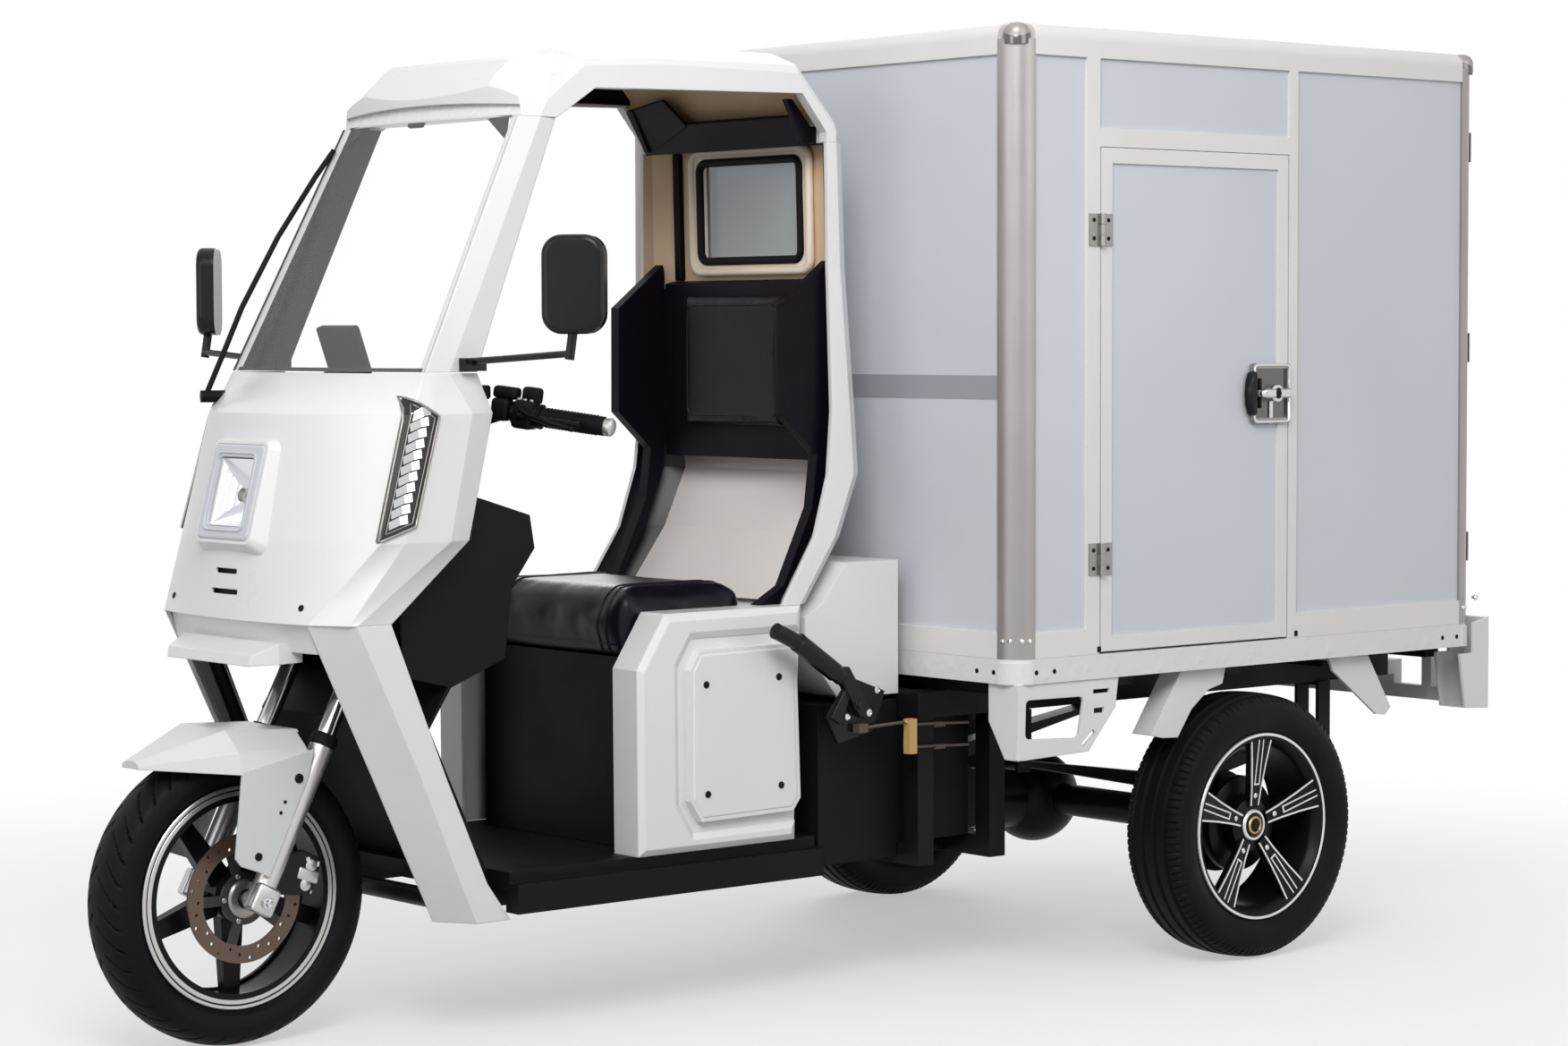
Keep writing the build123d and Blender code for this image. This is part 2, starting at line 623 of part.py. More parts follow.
HINGE_R = 6
HINGE_PIN_R = 3
HINGE_LEAF = 2.5
HINGE_H = 60
SIDE_HINGE_X = DOOR_FRONT
SIDE_HINGE_Y = BOX_HALF + HINGE_R + 0.5
SIDE_HINGE_Z = (DOOR_LOW + 174, DOOR_TOP - 153)
REAR_HINGE_X = BOX_REAR - HINGE_R - 0.5
REAR_HINGE_Y = BOX_HALF - POST
REAR_HINGE_Z = (REAR_DOOR_LOW + 130, (REAR_DOOR_LOW + REAR_DOOR_TOP) / 2, REAR_DOOR_TOP - 129)


def hinge(fixed):
    """One butt hinge about the z axis: leaves along x on a wall whose face is at y = -HINGE_R - 0.5."""
    low, high = -HINGE_H / 2, HINGE_H / 2
    third = HINGE_H / 3
    leaf_y = (-HINGE_R - 0.5, -HINGE_R - 0.5 + HINGE_LEAF)
    root = HINGE_R + 0.6
    if fixed:
        body = slab((root, 30), leaf_y, (low, high))
        body += rod((0, 0, low), (0, 0, high), HINGE_PIN_R)
        for z0, z1 in ((low, low + third - 0.5), (high - third + 0.5, high)):
            body += rod((0, 0, z0), (0, 0, z1), HINGE_R)
            body += slab((2, root + 1), leaf_y, (z0, z1))
        return body
    z0, z1 = low + third, high - third
    body = slab((-30, -root), leaf_y, (low, high))
    body += slab((-root - 1, -2), leaf_y, (z0, z1))
    body += rod((0, 0, z0), (0, 0, z1), HINGE_R)
    return body - rod((0, 0, low - 1), (0, 0, high + 1), HINGE_PIN_R + SHAFT_GAP)


def side_hinges(fixed):
    return [Pos(SIDE_HINGE_X, SIDE_HINGE_Y, z) * hinge(fixed) for z in SIDE_HINGE_Z]


def rear_hinges(fixed):
    """The left rear door's hinges, whose wall faces the rear."""
    turn = Rot(0, 0, 90)
    return [Pos(REAR_HINGE_X, REAR_HINGE_Y, z) * turn * hinge(fixed) for z in REAR_HINGE_Z]


def door_hinges_fixed():
    rear = rear_hinges(True)
    return [*side_hinges(True), *rear, *[mirror(h, about=Plane.XZ) for h in rear]]


LATCH_Z = DOOR_LOW + 420
LATCH_H = 116


def side_door_fittings():
    """The latch with its T handle, and the door's halves of the hinges."""
    y = BOX_HALF
    x0, x1 = DOOR_REAR + DOOR_GAP + 2, DOOR_REAR + 110
    z0, z1 = LATCH_Z, LATCH_Z + LATCH_H
    cup = slab((x0, x1), (y, y + 9), (z0, z1))
    cup = fillet(cup.edges().filter_by(Axis.Y), 8)
    cup -= slab((x0 + 8, x1 - 8), (y + 3, y + 12), (z0 + 10, z1 - 10))
    middle = ((x0 + x1) / 2, (z0 + z1) / 2)
    handle = rod((middle[0], y + 3, middle[1]), (middle[0], y + 24, middle[1]), 12)
    handle += slab((middle[0] - 34, middle[0] + 34), (y + 16, y + 26), (middle[1] - 9, middle[1] + 9))
    return [cup + handle, *side_hinges(False)]


def rear_door_fittings():
    """The left leaf's lock rod with its guides and handle, and its halves of the hinges."""
    y = REAR_DOOR_Y[0] + DOOR_FRAME + 28
    x = BOX_REAR - 16
    middle = REAR_DOOR_LOW + 400
    lock = rod((x, y, REAR_DOOR_LOW + 50), (x, y, REAR_DOOR_TOP - 50), 8)
    for z in (REAR_DOOR_LOW + 70, middle, REAR_DOOR_TOP - 70):
        lock += slab((BOX_REAR - 24, BOX_REAR + PANEL_STEP), (y - 18, y + 18), (z - 16, z + 16))
    lock += slab((BOX_REAR - 30, BOX_REAR - 22), (y - 12, y + 150), (middle - 12, middle + 12))
    return [lock, *rear_hinges(False)]


# Brackets under the tray


STEP_T = 6


def side_steps():
    """Pressed steel steps ahead of the rear wheels: an outer plate with its window and a forward flange."""
    face = BOX_HALF - 4
    outline = [(653, TRAY_LOW), (391, TRAY_LOW), (399, 520), (452, 462), (470, 441), (640, 436), (656, 438), (653, 480)]
    step = side_plate(outline, face - STEP_T, face)
    window = side_plate([(632, 547), (482, 545), (496, 468), (634, 475)], face - 20, face + 5)
    step -= fillet(window.edges().filter_by(Axis.Y), 10)
    step -= slab((415, 458), (face - 20, face + 5), (548, 556))
    step -= slab((429, 456), (face - 20, face + 5), (511, 521))
    step -= side_plate([(482, 450), (488, 458), (458, 482), (452, 474)], face - 20, face + 5)
    flange = slab((653 - STEP_T, 653), (498, face), (436, TRAY_LOW))
    flange -= front_plate([(490, 505), (490, 430), (545, 430), (498, 505)], 640, 660)
    step += flange
    step += slab((400, 653), (face - 62, face - STEP_T), (TRAY_LOW - 6, TRAY_LOW))
    return step


def mudguard_stays():
    """Folded stays before and behind each rear wheel."""
    top = TRAY_LOW
    face = REAR_HALF_TRACK + 32
    front = side_plate(
        [(199, top), (75, top), (85, 542), (123, 533), (171, 498), (209, 446), (251, 448), (283, 455)], face - 6, face
    )
    front += side_plate([(199, top), (75, top), (80, top - 8), (193, top - 8)], face - 66, face - 6)
    front += side_plate([(283, 455), (277, 458), (193, top - 8), (199, top)], face - 50, face - 6)
    rear = side_plate([(-222, top), (-340, top), (-412, 463), (-395, 448), (-368, 451), (-236, 547)], face - 6, face)
    rear += side_plate([(-222, top), (-340, top), (-335, top - 8), (-228, top - 8)], face - 40, face - 6)
    return [*both(front), *both(rear)]


def corner_brackets():
    """Plates at the rear corners that close the bumper's ends and carry the lamps."""
    outer, inner = BOX_HALF - 5, BOX_HALF - 74
    plate = side_plate([(-648, 621), (-698, 632), (-698, 443), (-625, 447), (-606, 560), (-648, 560)], inner, outer)
    plate -= side_plate([(-655, 640), (-692, 640), (-692, 449), (-500, 449), (-500, 640)], inner + 6, outer - 6)
    return plate


# Cab


def sections_loft(rows):
    """A ruled loft through plan polygons, each row being a height and its (x, y) points."""
    return loft([Plane.XY.offset(z) * Polygon(*points, align=None) for z, points in rows], ruled=True)


LEG_SECTIONS = (
    # z, front x, ridge x, rear x, ridge y
    (211, 1716, 1672, 1601, 300),
    (278, 1748, 1703, 1650, 301),
    (467, 1837, 1785, 1735, 303),
    (736, 1966, 1914, 1845, 303),
)
LEG_FRONT_Y = 230
LEG_WALL = 7


def cab_legs():
    """The two white legs from the front panel down to the floor, as folded channels."""
    leg = []
    for z, front, ridge, rear, y in LEG_SECTIONS:
        leg.append((z, [
            (front, LEG_FRONT_Y), (ridge, y), (rear, y), (rear, y - LEG_WALL),
            (ridge - 3, y - LEG_WALL), (front - 10, LEG_FRONT_Y),
        ]))
    return both(sections_loft(leg))


GLASS_LOW = (1777, 304, 1158)  # the pane's side edge: x, y, z
GLASS_TOP = (1546, 270, 1618)
GLASS_BOW = 24  # the pane's middle ahead of its sides
GLASS_RISE = 9  # the middle of its top edge above the corners


def glass_side(z):
    """Where the pane's side edge is at a height."""
    share = (z - GLASS_LOW[2]) / (GLASS_TOP[2] - GLASS_LOW[2])
    return tuple(low + share * (top - low) for low, top in zip(GLASS_LOW[:2], GLASS_TOP[:2]))


PILLAR_A = (
    # z, ridge x, ridge y, rear x, rear y
    (GLASS_LOW[2], 1729, 312, 1668, 306),
    (1260, 1678, 305, 1625, 299),
    (1598, 1513, 283, 1477, 277),
)
PILLAR_B = (
    # z, inner x, outer x, outer y
    (724, 985, 944, 303),
    (845, 905, 856, 299),
    (960, 868, 806, 295),
    (1078, 856, 812, 292),
    (1342, 857, 828, 283),
    (1575, 858, 834, 280),
)
PILLAR_T = 20
BACK_STEP = 44  # from the pillar's outer rear edge to the cab's back
BACK_T = 12


def cab_pillars():
    """The two windscreen pillars and the two folded pillars behind the seat."""
    front = []
    for z, x0, y0, x1, y1 in PILLAR_A:
        xg, yg = glass_side(z)
        front.append((z, [
            (xg, yg), (x0, y0), (x1, y1), (x1 + 4, y1 - PILLAR_T), (xg - GLASS_T, yg - PILLAR_T), (xg - GLASS_T, yg),
        ]))
    rear = [
        (z, [(x1 - BACK_STEP, y - 38), (x1, y), (x0, y), (x0, y - 9), (x1 + 6, y - 14), (x1 - BACK_STEP + 8, y - 48)])
        for z, x0, x1, y in PILLAR_B
    ]
    return [*both(sections_loft(front)), *both(sections_loft(rear))]


def cab_back_panel():
    """The cab's rear wall between its pillars, with its window cut."""
    rows = []
    for z, x0, x1, y in PILLAR_B:
        x = x1 - BACK_STEP
        side = [(x, y - 38), (x + 8, y - 48), (x + BACK_T, y - 48)]
        rows.append((z, side + [(px, -py) for px, py in reversed(side)]))
    return sections_loft(rows) - slab((700, 900), (-WINDOW_HALF, WINDOW_HALF), WINDOW_Z)


WINDOW_HALF = 150
WINDOW_Z = (1362, 1552)


def back_window():
    """A pane that fills the rear wall's window."""
    lean = slab((700, 900), (-WINDOW_HALF, WINDOW_HALF), WINDOW_Z)
    rows = [(z, [(x1 - BACK_STEP + 4, 240), (x1 - BACK_STEP + 8, 240), (x1 - BACK_STEP + 8, -240),
                 (x1 - BACK_STEP + 4, -240)]) for z, x0, x1, y in PILLAR_B]
    return sections_loft(rows) & lean


def back_window_frame():
    """The moulded surround on the inside of the rear wall, leaning with it."""
    low, high = PILLAR_B[-2], PILLAR_B[-1]
    rows = []
    for z, _, x1, _ in (low, high):
        x = x1 - BACK_STEP + BACK_T
        rows.append((z, [(x, 171), (x + 12, 171), (x + 12, -171), (x, -171)]))
    limit = slab((700, 900), (-171, 171), (low[0], high[0] - 4))
    limit = fillet(limit.edges().filter_by(Axis.X), 14)
    hole = slab((700, 900), (-WINDOW_HALF + 6, WINDOW_HALF - 6), (WINDOW_Z[0] + 6, WINDOW_Z[1] - 6))
    return (sections_loft(rows) & limit) - hole


def back_trim():
    """The black trim: a board with two side wings, and the header below the roof."""
    wing = side_plate(
        [(836, 1357), (946, 1272), (947, 1071), (868, 999), (880, 900), (950, 757), (1010, 724), (960, 724),
         (882, 845), (836, 960), (830, 1078), (832, 1342)],
        238, 262,
    )
    board = side_plate([(812, 1325), (830, 1320), (830, 985), (812, 985)], -238, 238)
    wings = board + wing + mirror(wing, about=Plane.XZ) - cab_back_panel()
    header = side_plate([(800, 1575), (868, 1575), (868, 1590), (850, 1606), (800, 1606)], -239, 239)
    header -= cab_back_panel()
    gusset = side_plate([(868, 1575), (868, 1590), (858, 1600), (906, 1654), (920, 1654), (880, 1575)], 226, 239)
    return [*wings.solids(), header + gusset + mirror(gusset, about=Plane.XZ)]


def backrest_pad():
    pad = slab((830 + SEAT_GAP, 858), (-162, 162), (1035, 1306))
    return fillet(pad.edges().filter_by(Axis.X), 20)


ROOF_SECTIONS = (
    # x, side z, side half, crease z, crease half, top z, top half
    (834, 1597, 280, 1612, 274, 1618, 225),
    (925, 1699, 280, 1714, 272, 1739, 200),
    (1254, 1700, 280, 1711, 272, 1738, 198),
    (1417, 1690, 280, 1703, 272, 1728, 195),
    (1498, 1627, 282, 1667, 272, 1711, 193),
    (1513, 1600, 283, 1658, 271, 1702, 192),
    (1546, 1599, 274, 1633, 269, 1672, 191),
    (1576, 1599, 262, 1628, 258, 1636, 190),
)
ROOF_SHELL = 22
ROOF_BASE = 1575
SCREEN_SEAM = 1598
LINING_T = 4


def roof_loft(inset):
    """The roof's ruled body through its cross-sections."""
    faces = []
    for x, side_z, side, crease_z, crease, top_z, top in ROOF_SECTIONS:
        low = ROOF_BASE - inset
        rows = [
            (side - inset, low), (side - inset, side_z - inset / 2), (crease - inset, crease_z - inset / 2),
            (top - inset / 2, top_z - inset),
        ]
        points = rows + [(-half, z) for half, z in reversed(rows)]
        faces.append(Plane.YZ.offset(x) * Polygon(*points, align=None))
    return loft(faces, ruled=True)


def screen_field(low):
    """The windscreen's outline seen from the front, from a height up to its bowed top edge."""
    half, top = GLASS_TOP[1], GLASS_TOP[2]
    outline = profile((-400, low), (-400, top), (-half, top), ((0, top + GLASS_RISE), (half, top)), (400, top), (400, low))
    return extrude(Plane.YZ.offset(1400) * outline, amount=600, dir=(1, 0, 0))


def screen_layer(inner, outer, low, high):
    """A curved layer along the windscreen, between two offsets along x."""
    faces = []
    for z in (low, high):
        x, half = glass_side(z)
        front = Edge.make_three_point_arc((x + outer, -half), (x + outer + GLASS_BOW, 0), (x + outer, half))
        back = Edge.make_three_point_arc((x + inner, half), (x + inner + GLASS_BOW, 0), (x + inner, -half))
        ends = [Edge.make_line((x + outer, half), (x + inner, half)), Edge.make_line((x + inner, -half), (x + outer, -half))]
        faces.append(Pos(0, 0, z) * Face(Wire([front, ends[0], back, ends[1]])))
    return loft(faces, ruled=True)


def cab_roof():
    """The moulded roof with its brow over the windscreen and the upper corners of the doorways."""
    roof = roof_loft(0)
    opening = [
        (1477, 1560), (1477, SCREEN_SEAM), (1447, 1617), (1391, 1653), (916, 1662), (858, 1593), (858, 1560),
    ]
    hollow = roof_loft(ROOF_SHELL) & slab((848, 1520), (-300, 300), (1500, 1800))
    roof -= side_plate(opening, -400, 400)
    roof -= hollow
    roof -= slab((1400, 1700), (-400, 400), (1500, SCREEN_SEAM))
    brow, half = GLASS_TOP[0] + 3, GLASS_TOP[1]
    plan = profile((700, -400), (brow, -400), (brow, -half), ((brow + GLASS_BOW, 0), (brow, half)), (brow, 400), (700, 400))
    roof &= extrude(Pos(0, 0, 1500) * plan, amount=400, dir=(0, 0, 1))
    roof -= screen_layer(-GLASS_T, 90, 1560, 1650) & screen_field(1560)
    for piece in (cab_back_panel(), *back_trim()):
        roof -= piece
    return max(roof.solids(), key=lambda s: s.volume)


def roof_lining():
    """The lining under the roof's top and sides."""
    room = slab((852, 1518), (-300, 300), (1610, 1800))
    lining = (roof_loft(ROOF_SHELL) - roof_loft(ROOF_SHELL + LINING_T)) & room
    lining -= side_plate([(1560, 1500), (1447, 1621), (1391, 1657), (916, 1666), (850, 1590)], -400, 400)
    return max(lining.solids(), key=lambda s: s.volume)


FASCIA_SECTIONS = (
    # z, centre x, corner x, corner y, cheek x, cheek y, ridge x, ridge y, rear x, rear y
    (736, 1992, 1966, 233, 1926, 296, 1914, 303, 1845, 303),
    (872, 1974, 1876, 318, 1830, 326, 1738, 326, 1688, 308),
    (1088, 1930, 1808, 318, 1772, 326, 1690, 324, 1636, 306),
    (1156, 1801, 1777, 304, 1762, 307, 1729, 312, 1668, 306),
)
CHIN_LOW = 686
CHIN_TOP = 748


def fascia_loft(inset):
    """The nose's ruled body, with a curved front."""
    faces = []
    for z, centre, xc, yc, xk, yk, xr, yr, xb, yb in FASCIA_SECTIONS:
        edges = [Edge.make_three_point_arc((xc - inset, inset - yc), (centre - inset, 0), (xc - inset, yc - inset))]
        rows = [(xc - inset, yc - inset), (xk - inset, yk - inset), (xr, yr - inset), (xb, yb - inset)]
        left = [Edge.make_line(a, b) for a, b in zip(rows, rows[1:])]
        right = [Edge.make_line((b[0], -b[1]), (a[0], -a[1])) for a, b in zip(rows, rows[1:])]
        back = Edge.make_line(rows[-1], (rows[-1][0], -rows[-1][1]))
        face = Face(Wire([*edges, *left, back, *reversed(right)]))
        faces.append(Pos(0, 0, z) * face)
    return loft(faces, ruled=True)


def chin_loft(inset):
    """The band under the nose, leaning back from its lower edge."""
    faces = []
    for z, centre, corner, half in ((CHIN_TOP, 1984, 1957, 228), (CHIN_LOW, 1958, 1943, 226)):
        x, y = corner - inset, half - inset
        arc = Edge.make_three_point_arc((x, -y), (centre - inset, 0), (x, y))
        back = [Edge.make_line((x, y), (x - 60, y)), Edge.make_line((x - 60, y), (x - 60, -y)),
                Edge.make_line((x - 60, -y), (x, -y))]
        faces.append(Pos(0, 0, z) * Face(Wire([arc, *back])))
    return loft(faces, ruled=True)


def chin():
    """The chin's skin, with the ledge that joins it to the nose's lower edge."""
    low = FASCIA_SECTIONS[0][0]
    inside = chin_loft(SHELL)
    ledge = fascia_loft(0) & slab((1900, 2100), (-229, 229), (low, low + SHELL))
    band = chin_loft(0) - slab((1800, 2100), (-300, 300), (low + SHELL, CHIN_TOP + 5))
    return ledge + band - inside - slab((1800, 1905), (-300, 300), (600, 800))


def front_lip():
    """The wedge that juts out below the chin."""
    side = side_plate([(1930, 702), (1972, 702), (2016, 682), (2020, 664), (1930, 668)], -160, 160)
    plan = plan_plate([(1930, -160), (1974, -156), (2020, -132), (2020, 132), (1974, 156), (1930, 160)], 640, 720)
    return side & plan


LAMP_PLANE = Plane(origin=(1971, 0, 954), x_dir=(0, 1, 0), z_dir=(164, 0, 42))
LAMP_W, LAMP_H = 164, 168
LAMP_WINDOW_W, LAMP_WINDOW_H = 112, 122
LAMP_DEPTH = 44


def lamp_block(wide, high, radius, low, top):
    """A rounded block on the headlamp's plane."""
    return extrude(LAMP_PLANE.offset(low) * RectangleRounded(wide, high, radius), top - low)


def lamp_pod():
    """The nose's raised surround of the headlamp."""
    base = LAMP_PLANE.offset(-34) * RectangleRounded(LAMP_W + 62, LAMP_H + 46, 26)
    rim = LAMP_PLANE.offset(-3) * RectangleRounded(LAMP_W + 12, LAMP_H + 12, 14)
    return loft([base, rim], ruled=True)


def front_fascia():
    """The nose: a moulded shell with its cheeks, top shelf, chin, lip, lamp surround and two slots."""
    shell = fascia_loft(0) - fascia_loft(SHELL)
    opening = [(z, [(xb - 60, yb - SHELL), (xb + 12, yb - SHELL), (xb + 12, SHELL - yb), (xb - 60, SHELL - yb)])
               for z, _, _, _, _, _, _, _, xb, yb in FASCIA_SECTIONS]
    shell -= sections_loft(opening)
    shell -= slab((1600, 1724), (-296, 296), (1150, 1170))
    shell += lamp_pod()
    for z, half in ((818, 34), (783, 42)):
        slot = slab((1940, 2100), (-half, half), (z - 4.5, z + 4.5))
        shell -= fillet(slot.edges().filter_by(Axis.X), 3)
    shell = shell + chin() + front_lip()
    for piece in (lamp_block(LAMP_W, LAMP_H, 12, -60, 10), *side_lamps()):
        shell -= piece
    return max(shell.solids(), key=lambda s: s.volume)


def windscreen():
    """One curved pane between the two front pillars, up to the brow."""
    return screen_layer(-GLASS_T, 0, GLASS_LOW[2], 1650) & screen_field(GLASS_LOW[2])


def wiper():
    """The arm, bowed out from its pivot at the nose's top corner, and the blade along the glass."""
    pivot = Vector(1838, -298, 1112)
    arm = rod(pivot - Vector(40, -16, 0), pivot + Vector(8, -3, 0), 11)
    arm += tube([pivot, (1804, -292, 1188), (1766, -288, 1272), (1690, -285, 1400), (1612, -278, 1512), (1582, -262, 1560)], 5, 30)
    arm += beam((1761, -262, 1240), (1590, -246, 1590), 9, 14)
    arm = arm - fascia_loft(0) - windscreen()
    for lamp in side_lamps():
        arm -= lamp
    return max(arm.solids(), key=lambda s: s.volume)


def headlamp_housing():
    """The rim of the headlamp, open where the bowl shows."""
    rim = lamp_block(LAMP_W, LAMP_H, 12, -LAMP_DEPTH, 0)
    rim = fillet(rim.faces().sort_by(Axis((0, 0, 0), (164, 0, 42)))[-1].edges(), 5)
    return rim - lamp_block(LAMP_WINDOW_W, LAMP_WINDOW_H, 8, -LAMP_DEPTH + 4, 10)


def headlamp_bowl():
    """The bright reflector, a stepped funnel to the bulb."""
    body = lamp_block(LAMP_WINDOW_W, LAMP_WINDOW_H, 8, -LAMP_DEPTH + 4, -5)
    mouth = LAMP_PLANE.offset(-5) * RectangleRounded(LAMP_WINDOW_W - 3, LAMP_WINDOW_H - 3, 7)
    seat = LAMP_PLANE.offset(-LAMP_DEPTH + 8) * RectangleRounded(40, 34, 6)
    body -= loft([seat, mouth], ruled=True)
    return body + Solid.make_cylinder(9, 16, LAMP_PLANE.offset(-LAMP_DEPTH + 7))


def headlamp_lens():
    return lamp_block(LAMP_WINDOW_W, LAMP_WINDOW_H, 8, -5, -2)


LAMP_CORNERS = [(1812, 1119), (1761, 1085), (1811, 900), (1880, 875)]  # side lamps, x and z


def side_lamps():
    """The long corner lamps that follow the nose's cheeks."""
    window = side_plate(LAMP_CORNERS, 290, 345)
    return both((window & fascia_loft(-2)) - fascia_loft(14))


def leg_shield():
    """The inner moulding behind the nose and the bulkhead down to the floor."""
    outline = [
        (1724, 1140), (1712, 1140), (1700, 960), (1618, 936), (1527, 908), (1517, 850), (1566, 785), (1582, 661),
        (1696, 617), (1742, 548), (1623, FLOOR_TOP),
    ]
    inner = [
        (1724, 1135), (1718, 1135), (1706, 955), (1620, 930), (1532, 904), (1523, 850), (1571, 788), (1587, 665),
        (1700, 622), (1749, 548), (1630, FLOOR_TOP),
    ]
    skin = outline + list(reversed(inner))
    body = side_plate(skin, -262, 262)
    cheek = side_plate(
        [(1724, 1140), (1712, 1140), (1700, 960), (1618, 936), (1527, 908), (1517, 850), (1566, 785), (1582, 661), (1696, 617),
         (1790, 640), (1800, 760)],
        257, 262,
    )
    body += cheek
    body += mirror(cheek, about=Plane.XZ)
    return body - rod(steer_point(600), steer_point(900), 34)


def floor_pan():
    """The flat floor with its black side sills."""
    pan = slab((905, 1600), (-296, 296), (262, FLOOR_TOP))
    pan += slab((1600, 1652), (-220, 220), (262, FLOOR_TOP))
    for side in (1, -1):
        pan += slab((905, 1600), sorted((side * 285, side * SILL_HALF)), (FLOOR_LOW, SILL_TOP))
    return pan


POD_OUTLINE = [(1266, 719), (1327, 626), (1325, FLOOR_TOP), (962, FLOOR_TOP), (946, 723.7), (1262, 723.7)]


def seat_pods():
    """The two white side boxes with their raised octagonal covers."""
    body = side_plate(POD_OUTLINE, SEAT_HALF, CAB_HALF)
    body -= side_plate([(1250, 715), (1318, 620), (1318, FLOOR_TOP - 1), (970, FLOOR_TOP - 1), (956, 715)], SEAT_HALF - 1, CAB_HALF - SHELL)
    cover = side_plate(
        [(1216, 620), (1194, 655), (984, 657), (966, 630), (957, 371), (975, 348), (1190, 345), (1216, 385)],
        CAB_HALF, CAB_HALF + 15,
    )
    return both(body + cover)


def seat_base():
    box = slab((960, 1272), (-SEAT_HALF, SEAT_HALF), (FLOOR_TOP, 640))
    return box - slab((966, 1266), (-SEAT_HALF + SHELL, SEAT_HALF - SHELL), (FLOOR_TOP - 1, 634))


def seat_cushion():
    cushion = slab((1000, 1300), (-232, 232), (640 + SEAT_GAP, 766))
    return fillet(cushion.edges().filter_by(Axis.Z), 30)


def rear_fairing():
    """The white cover between the cab's back and the cargo box."""
    front = BATTERY_X[0] + 180
    outline = [(front, 545), (front, 797), (828, 797), (890, 722), (930, 700), (930, 640), (850, 545)]
    inner = [(front + 5, 535), (front + 5, 792), (824, 792), (884, 718), (925, 696), (925, 640), (846, 540)]
    return side_plate(outline, -300, 300) - side_plate(inner, -295, 295)


def parking_brake():
    """The hand lever on its toothed bracket, on the left side."""
    y = 372
    grip = tube([(1062, y, 687), (985, y, 652), (905, y, 592)], 15, 120)
    grip += rod((1010, y, 664), (920, y, 603), 18)
    arm = side_plate([(928, 612), (905, 580), (866, 520), (842, 512), (836, 532), (862, 566), (892, 612)], y - 8, y + 8)
    plate = side_plate([(790, 560), (872, 590), (930, 520), (905, 470), (820, 488)], y - 17, y - 9)
    plate += side_plate([(872, 590), (894, 575), (930, 520), (905, 506)], y - 9, y + 3)
    plate += rod((866, y - 17, 540), (866, y + 14, 540), 9)
    foot = slab((815, 880), (300, y - 16), (500, 508))
    return grip + arm + plate + foot


def brake_equaliser():
    """The bar that shares the lever's pull between the two brake rods, with its clevis."""
    y = 375
    body = slab((728, 746), (y - 9, y + 9), (440, 505))
    body += rod((742, y, 500), (866, y, 496), 3)
    body += slab((846, 868), (363, y + 5), (488, 504))
    for z in (452, 494):
        body += rod((590, y, z - 6), (735, y, z), 2.5)
        body += rod((652, y, z - 5), (676, y, z - 4), 5)
    return body


MIRROR_TURN = 40


def mirrors():
    """Two door mirrors, turned in to the driver, on arms from a block on each front pillar."""
    head = Box(34, 106, 164)
    head = fillet(head.edges().filter_by(Axis.X), 34)
    head = fillet(head.faces().sort_by(Axis.X)[-1].edges(), 10)
    piece = Pos(1662, 574, 1304) * Rot(0, 0, MIRROR_TURN) * head
    piece += rod((1690, 316, 1176), (1672, 574, 1190), 6)
    piece += rod((1672, 574, 1180), (1664, 574, 1228), 8)
    piece += slab((1662, 1708), (288, 326), (1160, 1182))
    for pillar in cab_pillars():
        piece -= pillar
    return both(max((piece - fascia_loft(0)).solids(), key=lambda s: s.volume))


def rear_lamps():
    return both(slab((-REAR_REACH, -698), (BOX_HALF - 68, BOX_HALF - 17), (470, 560)))


